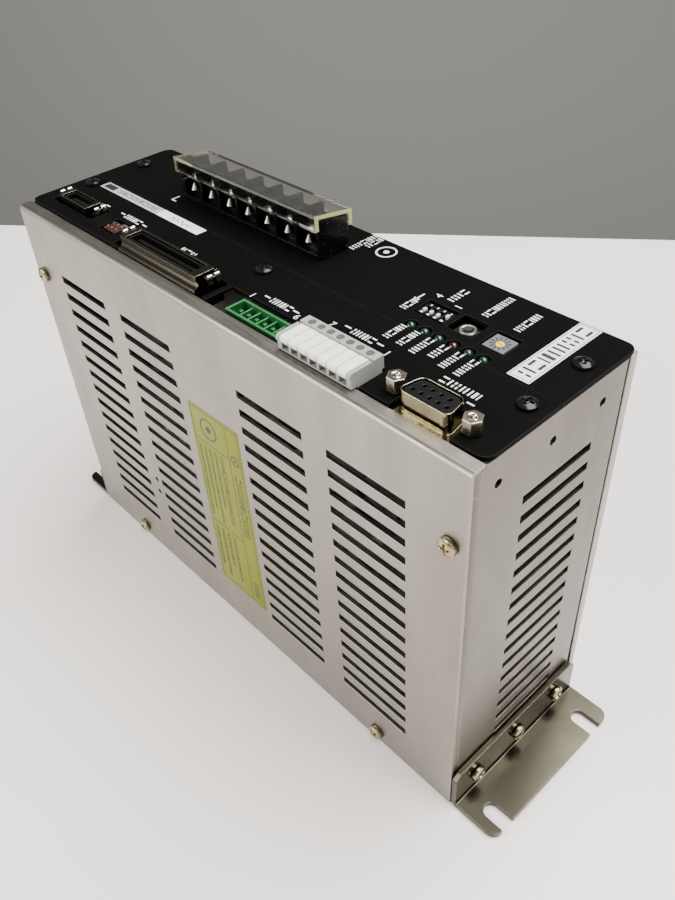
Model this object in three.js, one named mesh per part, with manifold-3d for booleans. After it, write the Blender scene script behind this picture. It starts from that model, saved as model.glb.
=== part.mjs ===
// A panel-mounted servo drive: a bent aluminium chassis closed by a vented side cover, a heat-sink plate and
// two black front panels, and held by two slotted L-brackets. It carries its connectors, switches, terminals,
// boards and power parts.
// Frame: the rear mounting plane is z = 0, the front panels face +Z, the long axis is X and the vented cover
// faces -Y. Millimetres.

import * as THREE from "three";
import { mergeVertices } from "three/addons/utils/BufferGeometryUtils.js";
import Module from "manifold-3d";

const wasm = await Module();
wasm.setup();

// ---------------------------------------------------------------- driving dimensions, millimetres

const LENGTH = 220; // case along X
const WIDTH = 69.4; // case along Y
const DEPTH = 151.7; // rear plane to the front lip of the side cover
const CLEAR = 0.3; // gap between pieces that touch
const CHASSIS_SHEET = 1.6;
const COVER_SHEET = 1.2;
const PLATE = 3;
const PANEL_SHEET = 1.2;
const PANEL_STEP = 0.8; // the panels stand this much above the cover's lip
const BEND = 2.2; // outer bend radius of the chassis
const FLANGE = 12; // return flanges of the chassis
const LIP = 5.2; // front lip of the side cover

const endX = LENGTH / 2;
const coverY = -WIDTH / 2;
const plateY = WIDTH / 2;
const chassisFront = coverY + COVER_SHEET + CLEAR;
const chassisBack = plateY - PLATE - CLEAR;
const panelTop = DEPTH + PANEL_STEP;
const panelUnder = panelTop - PANEL_SHEET;
const chassisTop = panelUnder - CLEAR;
const seamY = -0.55; // the two front panels meet here

// Ventilation slots: the same ladder of slots on the cover and on both end walls.
const SLOT = { count: 16, width: 30.4, height: 3, pitch: 7.2, top: 129.6 };
const COVER_COLUMNS = [-74.1, -33.2, 33.2, 74.1];
const END_COLUMN = 2.65;

// M3 pan-head screws: their rows on the cover, the end walls and the brackets.
const SCREW = { head: 3, rise: 2, shank: 1.3, hole: 1.7, length: 6 };
const COVER_SCREWS = [
  [-104.5, 124.5],
  [104.5, 124.5],
  [-75.4, 5],
  [75.4, 5],
];
const END_SCREW_ROW = [-24, -2, 20];
const BRACKET_SCREW_Z = 10;
const SPARE_HOLE_Z = 142; // tapped holes for fitting the brackets at the front instead
const SPARE_HOLE = 1.4;
const PEEP_HOLES = [
  [-52.4, 48],
  [-52.4, 41.1],
];

const BRACKET = {
  thick: 2,
  height: 18,
  reach: 19,
  near: -34.5,
  far: 31.3,
  slots: [-27.5, 22.5],
  slotRadius: 2.8,
  slotDepth: 9.6,
};

// Everything that looks out of the front panels. Connectors share one line along the cover side.
const CONNECTOR_Y = -23.4;
const POLE_PITCH = 3.81;
const HEADER = { depth: 7.6, height: 9.2, wall: 0.8, margin: 1.74, top: 151 };
const SENSOR_HEADER = { x: 20.1, poles: 6 };
const SUPPLY_HEADER = { x: 52.2, poles: 7 };
const LEDS = { x: 57, y: 2.1, pitch: 5.25, count: 6, radius: 1.5 };
const DIP = { x: 58.1, y: 11.6, pitch: 2.54, poles: 4, travel: 1.3 };
const BUTTON = { x: 69.5, y: 12.1 };
const ROTARY = { x: 81.7, y: 11.1 };
const TERMINAL = { x: -27.05, poles: 7, pitch: 10.4, near: 9.9, far: 22.3, footHalf: 34.4 };
const SERIAL = { x: 88.2, y: CONNECTOR_Y, screwSpan: 24.99, screwHole: 1.8 };

// ---------------------------------------------------------------- materials

const finish = (color, roughness, metalness) =>
  new THREE.MeshStandardMaterial({ color, roughness, metalness });

const aluminium = finish(0xaaa79f, 0.45, 0.85);
const blackPaint = finish(0x141516, 0.45, 0.1);
const nickel = finish(0x9a937f, 0.3, 0.95);
const zincScrew = finish(0x8f8660, 0.3, 0.95);
const blackPlastic = finish(0x0d0d0e, 0.5, 0);
const clearPlastic = finish(0xd9dcc8, 0.1, 0);
const whitePlastic = finish(0xe2e1d6, 0.5, 0);
const greenPlastic = finish(0x1f8a4c, 0.45, 0);
const redPlastic = finish(0x6b1c14, 0.5, 0);
const chromate = finish(0xb7a878, 0.3, 0.9);
const greyPlastic = finish(0x8b8c8e, 0.5, 0);
const yellowPlastic = finish(0xe0c820, 0.45, 0);
const circuitBoard = finish(0x1c4b34, 0.5, 0.1);
const sleeve = finish(0x23282c, 0.4, 0.1);
const copper = finish(0x8a4a22, 0.4, 0.8);

// ---------------------------------------------------------------- solids

// A closed three.js geometry as a solid that can be joined and cut.
function solid(geometry) {
  const bare = geometry.index ? geometry.toNonIndexed() : geometry.clone();
  bare.deleteAttribute("normal");
  bare.deleteAttribute("uv");
  const merged = mergeVertices(bare, 1e-4);
  return new wasm.Manifold(
    new wasm.Mesh({
      numProp: 3,
      vertProperties: merged.attributes.position.array,
      triVerts: new Uint32Array(merged.index.array),
    }),
  );
}

function block(x0, x1, y0, y1, z0, z1) {
  const box = new THREE.BoxGeometry(x1 - x0, y1 - y0, z1 - z0);
  return solid(box.translate((x0 + x1) / 2, (y0 + y1) / 2, (z0 + z1) / 2));
}

// A box centred on (x, y) in plan.
function pad(x, y, width, depth, z0, z1) {
  return block(x - width / 2, x + width / 2, y - depth / 2, y + depth / 2, z0, z1);
}

// A round bar along X, Y or Z; (u, v) are the other two coordinates in X, Y, Z order.
function bar(axis, radius, from, to, u = 0, v = 0, segments = 20) {
  const round = new THREE.CylinderGeometry(radius, radius, to - from, segments);
  const middle = (from + to) / 2;
  if (axis === "x") return solid(round.rotateZ(-Math.PI / 2).translate(middle, u, v));
  if (axis === "y") return solid(round.translate(u, middle, v));
  return solid(round.rotateX(Math.PI / 2).translate(u, v, middle));
}

// A shape drawn in (x, y), made solid from z0 to z1.
function prism(shape, z0, z1, curveSegments = 6) {
  const options = { depth: z1 - z0, bevelEnabled: false, curveSegments };
  return solid(new THREE.ExtrudeGeometry(shape, options).translate(0, 0, z0));
}

const [AXIS_X, AXIS_Y, AXIS_Z] = [0, 1, 2].map((i) => new THREE.Vector3().setComponent(i, 1));
const turned = (...axes) => new THREE.Matrix4().makeBasis(...axes);

// A shape drawn in (y, z), made solid from x0 to x1.
function beam(shape, x0, x1, curveSegments = 6) {
  const options = { depth: x1 - x0, bevelEnabled: false, curveSegments };
  const geometry = new THREE.ExtrudeGeometry(shape, options);
  return solid(geometry.applyMatrix4(turned(AXIS_Y, AXIS_Z, AXIS_X)).translate(x0, 0, 0));
}

// A shape drawn in (x, z), made solid from y0 to y1.
function rail(shape, y0, y1, curveSegments = 6) {
  const options = { depth: y1 - y0, bevelEnabled: false, curveSegments };
  const geometry = new THREE.ExtrudeGeometry(shape, options);
  const basis = turned(AXIS_X, AXIS_Z, AXIS_Y.clone().negate());
  return solid(geometry.applyMatrix4(basis).translate(0, y1, 0));
}

const polygon = (...points) => new THREE.Shape(points.map(([u, v]) => new THREE.Vector2(u, v)));

// A rectangle whose corners have the radii [low-low, high-low, high-high, low-high].
function roundedRectangle(u0, u1, v0, v1, radii) {
  const [a, b, c, d] = Array.isArray(radii) ? radii : [radii, radii, radii, radii];
  const shape = new THREE.Shape();
  shape.moveTo(u0 + a, v0);
  shape.lineTo(u1 - b, v0);
  if (b) shape.absarc(u1 - b, v0 + b, b, -Math.PI / 2, 0, false);
  shape.lineTo(u1, v1 - c);
  if (c) shape.absarc(u1 - c, v1 - c, c, 0, Math.PI / 2, false);
  shape.lineTo(u0 + d, v1);
  if (d) shape.absarc(u0 + d, v1 - d, d, Math.PI / 2, Math.PI, false);
  shape.lineTo(u0, v0 + a);
  if (a) shape.absarc(u0 + a, v0 + a, a, Math.PI, 1.5 * Math.PI, false);
  return shape;
}

const join = (first, ...others) => others.reduce((whole, next) => whole.add(next), first);
const cut = (first, ...others) => others.reduce((whole, next) => whole.subtract(next), first);
const range = (count) => Array.from({ length: count }, (_, i) => i);

// Centres of a row of poles, spread evenly about zero.
function poleCentres(poles, pitch = POLE_PITCH) {
  return range(poles).map((i) => (i - (poles - 1) / 2) * pitch);
}

// ---------------------------------------------------------------- scene graph

const drive = new THREE.Group();

function assembly(name, x = 0, y = 0, z = 0, parent = drive) {
  const group = new THREE.Group();
  group.name = name;
  group.position.set(x, y, z);
  parent.add(group);
  return group;
}

function piece(parent, name, body, material, x = 0, y = 0, z = 0) {
  const mesh = body.getMesh();
  const geometry = new THREE.BufferGeometry();
  geometry.setAttribute("position", new THREE.BufferAttribute(mesh.vertProperties, 3));
  geometry.setIndex(new THREE.BufferAttribute(mesh.triVerts, 1));
  geometry.computeVertexNormals();
  const part = new THREE.Mesh(geometry, material);
  part.name = name;
  part.position.set(x, y, z);
  parent.add(part);
  return part;
}

// ---------------------------------------------------------------- case

const slotLevels = range(SLOT.count).map((i) => SLOT.top - i * SLOT.pitch);

function makeChassis() {
  const outer = roundedRectangle(-endX, endX, chassisFront, chassisBack, BEND);
  const inset = CHASSIS_SHEET;
  const inner = roundedRectangle(
    -endX + inset,
    endX - inset,
    chassisFront + inset,
    chassisBack - inset,
    BEND - inset,
  );
  const windowX = endX - FLANGE;
  const lipZ = DEPTH - COVER_SHEET - CLEAR;
  const cutters = [
    prism(inner, inset, chassisTop - inset),
    block(-windowX, windowX, chassisFront + inset, chassisBack - inset, chassisTop - 5, panelTop),
    block(-endX + 4, endX - 4, chassisFront + inset, CONNECTOR_Y + 10, chassisTop - 5, panelTop),
    block(-windowX, windowX, chassisFront - 1, chassisBack + 1, FLANGE, chassisTop - FLANGE),
    block(-endX - 1, endX + 1, chassisFront - 1, coverY + LIP + CLEAR, lipZ, panelTop),
  ];
  for (const side of [-1, 1]) {
    const [x0, x1] = [side * endX - 4, side * endX + 4];
    for (const z of slotLevels) {
      const half = SLOT.width / 2;
      cutters.push(block(x0, x1, END_COLUMN - half, END_COLUMN + half, z - SLOT.height, z));
    }
    for (const y of END_SCREW_ROW) {
      cutters.push(bar("x", SCREW.hole, x0, x1, y, BRACKET_SCREW_Z, 12));
      cutters.push(bar("x", SPARE_HOLE, x0, x1, y, SPARE_HOLE_Z, 12));
    }
  }
  for (const [x, z] of COVER_SCREWS) {
    cutters.push(bar("y", SCREW.hole, chassisFront - 1, chassisFront + 3, x, z, 12));
  }
  return cut(prism(outer, 0, chassisTop), ...cutters);
}

function makeSideCover() {
  const radius = 1.8;
  const inner = radius - COVER_SHEET;
  const skin = coverY + COVER_SHEET;
  const under = DEPTH - COVER_SHEET;
  const profile = new THREE.Shape();
  profile.moveTo(coverY, 0);
  profile.lineTo(skin, 0);
  profile.lineTo(skin, under - inner);
  profile.absarc(skin + inner, under - inner, inner, Math.PI, Math.PI / 2, true);
  profile.lineTo(coverY + LIP, under);
  profile.lineTo(coverY + LIP, DEPTH);
  profile.lineTo(coverY + radius, DEPTH);
  profile.absarc(coverY + radius, DEPTH - radius, radius, Math.PI / 2, Math.PI, false);
  const [y0, y1] = [coverY - 1, skin + 1];
  const cutters = [];
  for (const x of COVER_COLUMNS) {
    for (const z of slotLevels) {
      const half = SLOT.width / 2;
      cutters.push(block(x - half, x + half, y0, y1, z - SLOT.height, z));
    }
  }
  for (const [x, z] of COVER_SCREWS) cutters.push(bar("y", SCREW.hole, y0, y1, x, z, 12));
  for (const [x, z] of PEEP_HOLES) cutters.push(bar("y", 1.2, y0, y1, x, z, 10));
  return cut(beam(profile, -endX, endX), ...cutters);
}

// Opening for each connector, [x0, x1, y0, y1], cut through the signal panel.
const panelEdge = coverY + LIP + CLEAR;
const SIGNAL_OPENINGS = [
  [-103.4, -76, -23.6, -15.2],
  [-68.2, -59.4, -25.1, -16.6],
  [-53.4, -0.8, -27.8, -18.8],
  [-48.1, -0.8, panelEdge - 1, -27],
  [1.4, 67.6, panelEdge - 1, -19],
  [78.3, 98.5, panelEdge - 1, -18.2],
];
const POWER_OPENINGS = [
  [TERMINAL.x - TERMINAL.footHalf - 0.6, TERMINAL.x + TERMINAL.footHalf + 0.6, 10, 22],
  [52.4, 63.7, 7.6, 15.7],
  [65.2, 74.2, 7.7, 16.2],
  [77.5, 86, 7.2, 15.8],
];

function makePanel(y0, y1, radii, openings, holes) {
  const sheet = prism(roundedRectangle(-endX, endX, y0, y1, radii), panelUnder, panelTop);
  const cutters = openings.map(([a, b, c, d]) => block(a, b, c, d, panelUnder - 1, panelTop + 1));
  for (const [x, y, radius] of holes) {
    cutters.push(bar("z", radius, panelUnder - 1, panelTop + 1, x, y, 16));
  }
  return cut(sheet, ...cutters);
}

function makeBracket() {
  const { thick, height, reach, near, far, slots, slotRadius, slotDepth } = BRACKET;
  const bendRadius = thick + 0.6;
  const profile = new THREE.Shape();
  profile.moveTo(0, bendRadius);
  profile.lineTo(0, height);
  profile.lineTo(thick, height);
  profile.lineTo(thick, bendRadius);
  profile.absarc(bendRadius, bendRadius, bendRadius - thick, Math.PI, 1.5 * Math.PI, false);
  profile.lineTo(reach, thick);
  profile.lineTo(reach, 0);
  profile.lineTo(bendRadius, 0);
  profile.absarc(bendRadius, bendRadius, bendRadius, 1.5 * Math.PI, Math.PI, true);
  const corner = 3.6;
  const chamfer = 2.5;
  const plan = roundedRectangle(-1, reach, near, far, [0, corner, corner, 0]);
  const front = polygon(
    [near, -1],
    [far, -1],
    [far, height - chamfer],
    [far - chamfer, height],
    [near + chamfer, height],
    [near, height - chamfer],
  );
  const angle = rail(profile, near, far);
  const trimmed = angle.intersect(prism(plan, -1, height + 1)).intersect(beam(front, -1, reach + 1));
  const cutters = END_SCREW_ROW.map((y) => {
    return bar("x", SCREW.hole, -1, thick + 1, y, BRACKET_SCREW_Z, 12);
  });
  for (const y of slots) {
    const x = reach - slotDepth + slotRadius;
    cutters.push(bar("z", slotRadius, -1, thick + 1, x, y, 24));
    cutters.push(block(x, reach + 1, y - slotRadius, y + slotRadius, -1, thick + 1));
  }
  return cut(trimmed, ...cutters);
}

// A cross-recessed screw standing on its head's underside at the origin, head towards +Z.
function makeScrew() {
  const { head, rise, shank, length } = SCREW;
  const outline = [
    [0, rise],
    [head * 0.62, rise],
    [head * 0.9, rise * 0.72],
    [head, rise * 0.3],
    [head, 0],
    [shank, 0],
    [shank, -length],
    [0, -length],
  ].reverse();
  const points = outline.map(([r, z]) => new THREE.Vector2(r, z));
  const spun = new THREE.LatheGeometry(points, 14).rotateX(Math.PI / 2);
  const recess = head * 1.1;
  return cut(
    solid(spun),
    pad(0, 0, recess, 0.6, rise - 0.8, rise + 1),
    pad(0, 0, 0.6, recess, rise - 0.8, rise + 1),
  );
}

const caseParts = assembly("case");
piece(caseParts, "chassis", makeChassis(), aluminium);
piece(caseParts, "side_cover", makeSideCover(), aluminium);
piece(
  caseParts,
  "heat_sink_plate",
  prism(roundedRectangle(-endX, endX, plateY - PLATE, plateY, [0, 0.6, 0.6, 0]), 0, chassisTop),
  aluminium,
);

const ledHoles = range(LEDS.count).map((i) => [LEDS.x + i * LEDS.pitch, LEDS.y, 2.1]);
const screwHoles = [-103, 1.4, 104].map((x) => [x, -6.3, SCREW.hole]);
const farHoles = [-103, 104].map((x) => [x, 17.3, SCREW.hole]);
const jackHoles = [-1, 1].map((side) => {
  return [SERIAL.x + (side * SERIAL.screwSpan) / 2, SERIAL.y, SERIAL.screwHole];
});
const signalHoles = [...screwHoles, ...jackHoles];
piece(
  caseParts,
  "signal_panel",
  makePanel(panelEdge, seamY - CLEAR / 2, [3.5, 3.5, 0, 0], SIGNAL_OPENINGS, signalHoles),
  blackPaint,
);
const powerHoles = [...ledHoles, ...farHoles];
piece(
  caseParts,
  "power_panel",
  makePanel(seamY + CLEAR / 2, plateY - CLEAR, [0, 0, 3.5, 3.5], POWER_OPENINGS, powerHoles),
  blackPaint,
);

for (const [x, z] of COVER_SCREWS) {
  const side = x < 0 ? "lower" : "upper";
  const level = z > DEPTH / 2 ? "front" : "rear";
  const name = `cover_screw_${side}_${level}`;
  const screw = piece(caseParts, name, makeScrew(), zincScrew, x, coverY - CLEAR, z);
  screw.rotation.x = Math.PI / 2;
}

for (const [name, side] of [
  ["lower", -1],
  ["upper", 1],
]) {
  const mounting = assembly(`${name}_mounting`, side * (endX + CLEAR));
  const flipped = side < 0 ? makeBracket().mirror([1, 0, 0]) : makeBracket();
  piece(mounting, `${name}_bracket`, flipped, nickel);
  END_SCREW_ROW.forEach((y, i) => {
    const x = side * (BRACKET.thick + CLEAR);
    const screw = piece(mounting, `${name}_bracket_screw_${i + 1}`, makeScrew(), zincScrew, x, y);
    screw.position.z = BRACKET_SCREW_Z;
    screw.rotation.y = (side * Math.PI) / 2;
  });
}

// ---------------------------------------------------------------- shielded ribbon connectors

// The mouth is [length, width], and each shell end is the metal past the mouth on that side, [lower, upper].
const ENCODER_PORT = {
  x: -89.7,
  y: CONNECTOR_Y + 4,
  mouth: [13.6, 3.8],
  shellHalf: 3.5,
  shellEnds: [2.9, 2.9],
  foot: 149.8,
  insertFoot: 149.8,
  top: 155,
};
const CONTROL_PORT = {
  x: -27.8,
  y: CONNECTOR_Y,
  mouth: [35, 4.4],
  shellHalf: 4.1,
  shellEnds: [3.6, 4.4],
  foot: 146.5,
  insertFoot: 143.5,
  top: 156.5,
};
const RIBBON = { wall: 0.7, rimStep: 0.5, bladeStep: 1.4, latchReach: 3.2, latchStep: 0.7, slit: 0.8 };

// A metal shell with a latch at each end, around a black insert with a contact blade.
function addRibbonPort(name, spec) {
  const { wall, rimStep, bladeStep, latchReach, latchStep, slit } = RIBBON;
  const { mouth, shellHalf, shellEnds, foot, insertFoot, top } = spec;
  const port = assembly(`${name}_port`, spec.x, spec.y);
  const [half, mouthHalf] = [mouth[0] / 2, mouth[1] / 2];
  const bore = wall + CLEAR;
  const [start, end] = [-half - shellEnds[0], half + shellEnds[1]];
  const outline = roundedRectangle(start, end, -shellHalf, shellHalf, 0.8);
  const hollow = pad(0, 0, mouth[0] + 2 * bore, mouth[1] + 2 * bore, foot - 1, top + 1);
  const latchTop = top - latchStep;
  const latches = [
    block(start - latchReach, start + 1, -shellHalf + 2.6, shellHalf - 0.6, foot, latchTop),
    block(end - 1, end + latchReach, -shellHalf + 2.6, shellHalf - 0.6, foot, latchTop),
  ];
  const slits = [start - slit / 2, end + slit / 2].map((x) => {
    return pad(x, 0, slit, 2 * shellHalf, foot + 2.2, top + 1);
  });
  const shell = cut(join(cut(join(...latches), ...slits), prism(outline, foot, top)), hollow);
  piece(port, `${name}_shell`, shell, nickel);
  const insert = pad(0, 0, mouth[0] + 2 * wall, mouth[1] + 2 * wall, insertFoot, top - rimStep);
  const opening = pad(0, 0, ...mouth, insertFoot + 1.2, top + 1);
  const blade = pad(0, 0, mouth[0] - 3.6, 1.4, insertFoot + 1, top - bladeStep);
  piece(port, `${name}_insert`, join(cut(insert, opening), blade), blackPlastic);
}

addRibbonPort("encoder", ENCODER_PORT);
addRibbonPort("control", CONTROL_PORT);

// ---------------------------------------------------------------- jumper header

const JUMPERS = { x: -63.8, y: -20.85, pitch: 2.54, columns: 3, rows: 2 };

// Two rows of square pins in a low base, with a shunt on each pair.
function makeJumperHeader() {
  const { pitch, columns, rows } = JUMPERS;
  const base = block(-4, 4, -3.4, 3, 144, 149.2);
  const pins = poleCentres(columns, pitch).flatMap((x) => {
    return poleCentres(rows, pitch).map((y) => pad(x, y, 0.7, 0.7, 149, 152.6));
  });
  const shunts = poleCentres(columns, pitch).map((x) => pad(x, 0, 2.2, 5.4, 149, 152.2));
  return join(base, ...pins, ...shunts);
}

const jumpers = assembly("jumpers", JUMPERS.x, JUMPERS.y);
piece(jumpers, "jumper_header", makeJumperHeader(), redPlastic);

// ---------------------------------------------------------------- pluggable terminals

// An open-topped header: thin walls round a row of pins.
function makeHeader(poles) {
  const { depth, height, wall, margin, top } = HEADER;
  const width = poles * POLE_PITCH + margin;
  const floor = top - height;
  const shell = pad(0, 0, width, depth, floor, top);
  const hollow = pad(0, 0, width - 2 * wall, depth - 2 * wall, floor + 1, top + 1);
  const pins = poleCentres(poles).map((x) => pad(x, 0, 1, 1, floor + 0.5, top - 1.4));
  return join(cut(shell, hollow), ...pins);
}

// The sensor header has a thin rib between its poles.
function makeSensorHeader() {
  const { depth, height, wall, top } = HEADER;
  const ribs = poleCentres(SENSOR_HEADER.poles - 1).map((x) => {
    return pad(x, 0, 0.6, depth - wall, top - height, top - 1.2);
  });
  return join(makeHeader(SENSOR_HEADER.poles), ...ribs);
}

const PLUG = {
  top: 157,
  front: -8.2,
  back: 4.5,
  strip: 0.9,
  skirt: DEPTH + CLEAR,
  leverThick: 1.8,
  leverAxisY: -0.25,
  cheek: 1.2,
};

// The side view of a lever or a cheek, in (y, z) from the lever's hinge axis.
function leverOutline() {
  const radius = PLUG.leverThick / 2;
  const tip = PLUG.front - PLUG.leverAxisY;
  const nose = 1.2;
  const shape = new THREE.Shape();
  shape.moveTo(0, -radius);
  shape.absarc(0, 0, radius, -Math.PI / 2, Math.PI / 2, false);
  shape.lineTo(tip + nose, radius);
  shape.quadraticCurveTo(tip, radius, tip, radius - nose);
  shape.lineTo(tip, -radius);
  return shape;
}

// The plug stands in the header on a tongue; seven levers lie on its top between two cheeks, in front of
// seven wire holes.
function makePlugBody() {
  const { poles } = SUPPLY_HEADER;
  const half = (poles * POLE_PITCH + 2.7) / 2;
  const tongueHalf = (poles * POLE_PITCH + HEADER.margin) / 2 - HEADER.wall - CLEAR;
  const tongueDepth = HEADER.depth / 2 - HEADER.wall - CLEAR;
  const shelf = PLUG.top - PLUG.leverThick - CLEAR;
  const parts = [
    block(-half, half, PLUG.front + 0.5, PLUG.back - 0.7, PLUG.skirt, shelf),
    block(-half, half, PLUG.strip, PLUG.back, panelTop + CLEAR, PLUG.top),
    block(-half, half, -5.4, PLUG.back - 0.7, HEADER.top + CLEAR, PLUG.skirt + 1),
    block(-tongueHalf, tongueHalf, -tongueDepth, tongueDepth, HEADER.top - 7.4, HEADER.top + 1),
  ];
  const hingeZ = PLUG.top - PLUG.leverThick / 2;
  for (const side of [-1, 1]) {
    const [x0, x1] = side < 0 ? [-half, -half + PLUG.cheek] : [half - PLUG.cheek, half];
    parts.push(beam(leverOutline(), x0, x1).translate([0, PLUG.leverAxisY, hingeZ - 0.1]));
    parts.push(block(x0, x1, PLUG.front + 0.5, PLUG.strip + 1, shelf - 1, hingeZ));
  }
  const cutters = [];
  for (const x of poleCentres(poles)) {
    cutters.push(bar("z", 1.25, PLUG.top - 4, PLUG.top + 1, x, (PLUG.strip + PLUG.back) / 2, 14));
    cutters.push(pad(x, PLUG.front + 1, 2.8, 5, PLUG.skirt + 0.5, shelf - 0.5));
    cutters.push(pad(x, 0, 1.7, 1.7, HEADER.top - 8, HEADER.top - 1));
  }
  return cut(join(...parts), ...cutters);
}

// A lever with its round rear end centred on the hinge axis.
const makeLever = () => beam(leverOutline(), -1.75, 1.75);

const sensor = assembly("sensor_port", SENSOR_HEADER.x, CONNECTOR_Y);
piece(sensor, "sensor_header", makeSensorHeader(), greenPlastic);
const supply = assembly("supply_port", SUPPLY_HEADER.x, CONNECTOR_Y);
piece(supply, "plug_header", makeHeader(SUPPLY_HEADER.poles), greenPlastic);
const plug = assembly("plug", 0, 0, 0, supply);
piece(plug, "plug_body", makePlugBody(), whitePlastic);
poleCentres(SUPPLY_HEADER.poles).forEach((x, i) => {
  const z = PLUG.top - PLUG.leverThick / 2;
  piece(plug, `plug_lever_${i + 1}`, makeLever(), whitePlastic, x, PLUG.leverAxisY, z);
});

// ---------------------------------------------------------------- nine-way serial connector

// The D outline: the wide row faces -Y and the sides lean by ten degrees.
function dOutline(width, depth, radius) {
  const lean = Math.tan(THREE.MathUtils.degToRad(10)) * depth;
  const corners = [
    [-width / 2, -depth / 2],
    [width / 2, -depth / 2],
    [width / 2 - lean, depth / 2],
    [-width / 2 + lean, depth / 2],
  ].map(([x, y]) => new THREE.Vector2(x, y));
  const shape = new THREE.Shape();
  corners.forEach((corner, i) => {
    const before = corners[(i + 3) % 4].clone().sub(corner).setLength(radius).add(corner);
    const after = corners[(i + 1) % 4].clone().sub(corner).setLength(radius).add(corner);
    if (i) shape.lineTo(before.x, before.y);
    else shape.moveTo(before.x, before.y);
    shape.quadraticCurveTo(corner.x, corner.y, after.x, after.y);
  });
  return shape;
}

function makeSerialShell() {
  const flange = prism(roundedRectangle(-15.4, 15.4, -5.6, 6.2, 1), 149.9, 151);
  const tube = prism(dOutline(17.1, 8.5, 2.6), 150.5, 157.4);
  const bore = prism(dOutline(16.2, 7.6, 2.2), 149, 158);
  const holes = [-1, 1].map((side) => {
    return bar("z", SERIAL.screwHole, 149, 152, (side * SERIAL.screwSpan) / 2, 0, 14);
  });
  return cut(join(flange, tube), bore, ...holes);
}

function makeSerialInsert() {
  const face = prism(dOutline(15.5, 6.9, 1.9), 148, 157);
  const housing = block(-9.6, 9.6, -5.4, 5.4, 141, 149.5);
  const rows = [
    [5, -1.42],
    [4, 1.42],
  ];
  const contacts = rows.flatMap(([count, y]) =>
    poleCentres(count, 2.77).map((x) => bar("z", 0.6, 153, 158, x, y, 8)),
  );
  return cut(join(face, housing), ...contacts);
}

// A hexagonal standoff with a threaded mouth and a thin shank behind the panel.
function makeJackscrew() {
  const hex = bar("z", 2.89, panelTop + CLEAR, 157.2, 0, 0, 6).rotate([0, 0, 30]);
  const shank = bar("z", 1.4, 146, panelTop + 1, 0, 0, 12);
  return cut(join(hex, shank), bar("z", 1.1, 154, 158, 0, 0, 12));
}

const serial = assembly("serial_port", SERIAL.x, SERIAL.y);
piece(serial, "serial_shell", makeSerialShell(), chromate);
piece(serial, "serial_insert", makeSerialInsert(), blackPlastic);
[-1, 1].forEach((side, i) => {
  piece(serial, `jackscrew_${i + 1}`, makeJackscrew(), nickel, (side * SERIAL.screwSpan) / 2);
});

// ---------------------------------------------------------------- barrier terminals and their cover

const terminalHalf = (TERMINAL.poles * TERMINAL.pitch) / 2;
const SEAT = 160; // the terminal screws' clamps sit here
const END_WALL = 1.2;

// A barrier strip: each pole's bay is open at its top, and at the near side down to a low floor.
function makeTerminalBlock() {
  const { near, far, poles, pitch, footHalf } = TERMINAL;
  const endHalf = terminalHalf + END_WALL;
  const base = block(-endHalf, endHalf, near, far, panelTop + CLEAR, SEAT);
  const foot = block(-footHalf, footHalf, 10.6, 21.4, 146, panelTop + 1);
  const wallShape = polygon([near, SEAT - 1], [far, SEAT - 1], [far, 164.2], [far - 0.4, 164.6], [near, 165]);
  const endShape = polygon([near, SEAT - 1], [far, SEAT - 1], [far, 164.2], [near, 166.1]);
  const walls = range(poles - 1).map((i) => {
    const x = (i + 1) * pitch - terminalHalf;
    return beam(wallShape, x - 0.6, x + 0.6);
  });
  const ends = [-1, 1].map((side) => {
    const x = side * (endHalf - END_WALL / 2);
    return beam(endShape, x - END_WALL / 2, x + END_WALL / 2);
  });
  const bays = poleCentres(poles, pitch).map((x) => {
    return block(x - pitch / 2 + 0.6, x + pitch / 2 - 0.6, near - 1, near + 2.6, 154, SEAT + 1);
  });
  const screws = poleCentres(poles, pitch).flatMap((x) => [
    pad(x, 15.3, 7.2, 6.8, SEAT - 0.5, SEAT + 1.2),
    bar("z", 3, SEAT + 1, SEAT + 3.4, x, 15.6, 12),
  ]);
  return join(cut(base, ...bays), foot, ...walls, ...ends, ...screws);
}

// A clear channel, highest at its front edge, that hangs over the barrier walls on two legs.
function makeTerminalCover() {
  const profile = polygon(
    [8.2, 163],
    [9.7, 163],
    [9.7, 166.9],
    [22.5, 164.8],
    [22.5, 160.6],
    [24, 160.6],
    [24, 165.8],
    [8.2, 168.4],
  );
  const reach = terminalHalf + END_WALL + 0.15;
  return beam(profile, -reach, reach);
}

const terminals = assembly("terminals", TERMINAL.x);
piece(terminals, "terminal_block", makeTerminalBlock(), blackPlastic);
piece(terminals, "terminal_cover", makeTerminalCover(), clearPlastic);

// ---------------------------------------------------------------- indicators and switches

const BOARD = 1.6; // thickness of every circuit board
const displayTop = 146;
const partFoot = displayTop + CLEAR;

function makeLedArray() {
  const last = (LEDS.count - 1) * LEDS.pitch;
  const holder = block(-2.6, last + 2.6, -1.8, 1.8, partFoot, 150.2);
  const lamps = range(LEDS.count).map((i) => {
    const dome = new THREE.LatheGeometry(
      [...range(5).map((k) => lampPoint((k * Math.PI) / 8)), new THREE.Vector2(0, 150)].reverse(),
      14,
    );
    return solid(dome.rotateX(Math.PI / 2).translate(i * LEDS.pitch, 0, 0));
  });
  return join(holder, ...lamps);
}

// Quarter circle of a lamp's dome, from its crown down to its widest ring, then down to the holder.
function lampPoint(angle) {
  const crown = panelTop + 0.5;
  if (angle >= Math.PI / 2) return new THREE.Vector2(LEDS.radius, 150);
  return new THREE.Vector2(
    LEDS.radius * Math.sin(angle),
    crown - LEDS.radius * (1 - Math.cos(angle)),
  );
}

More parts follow.
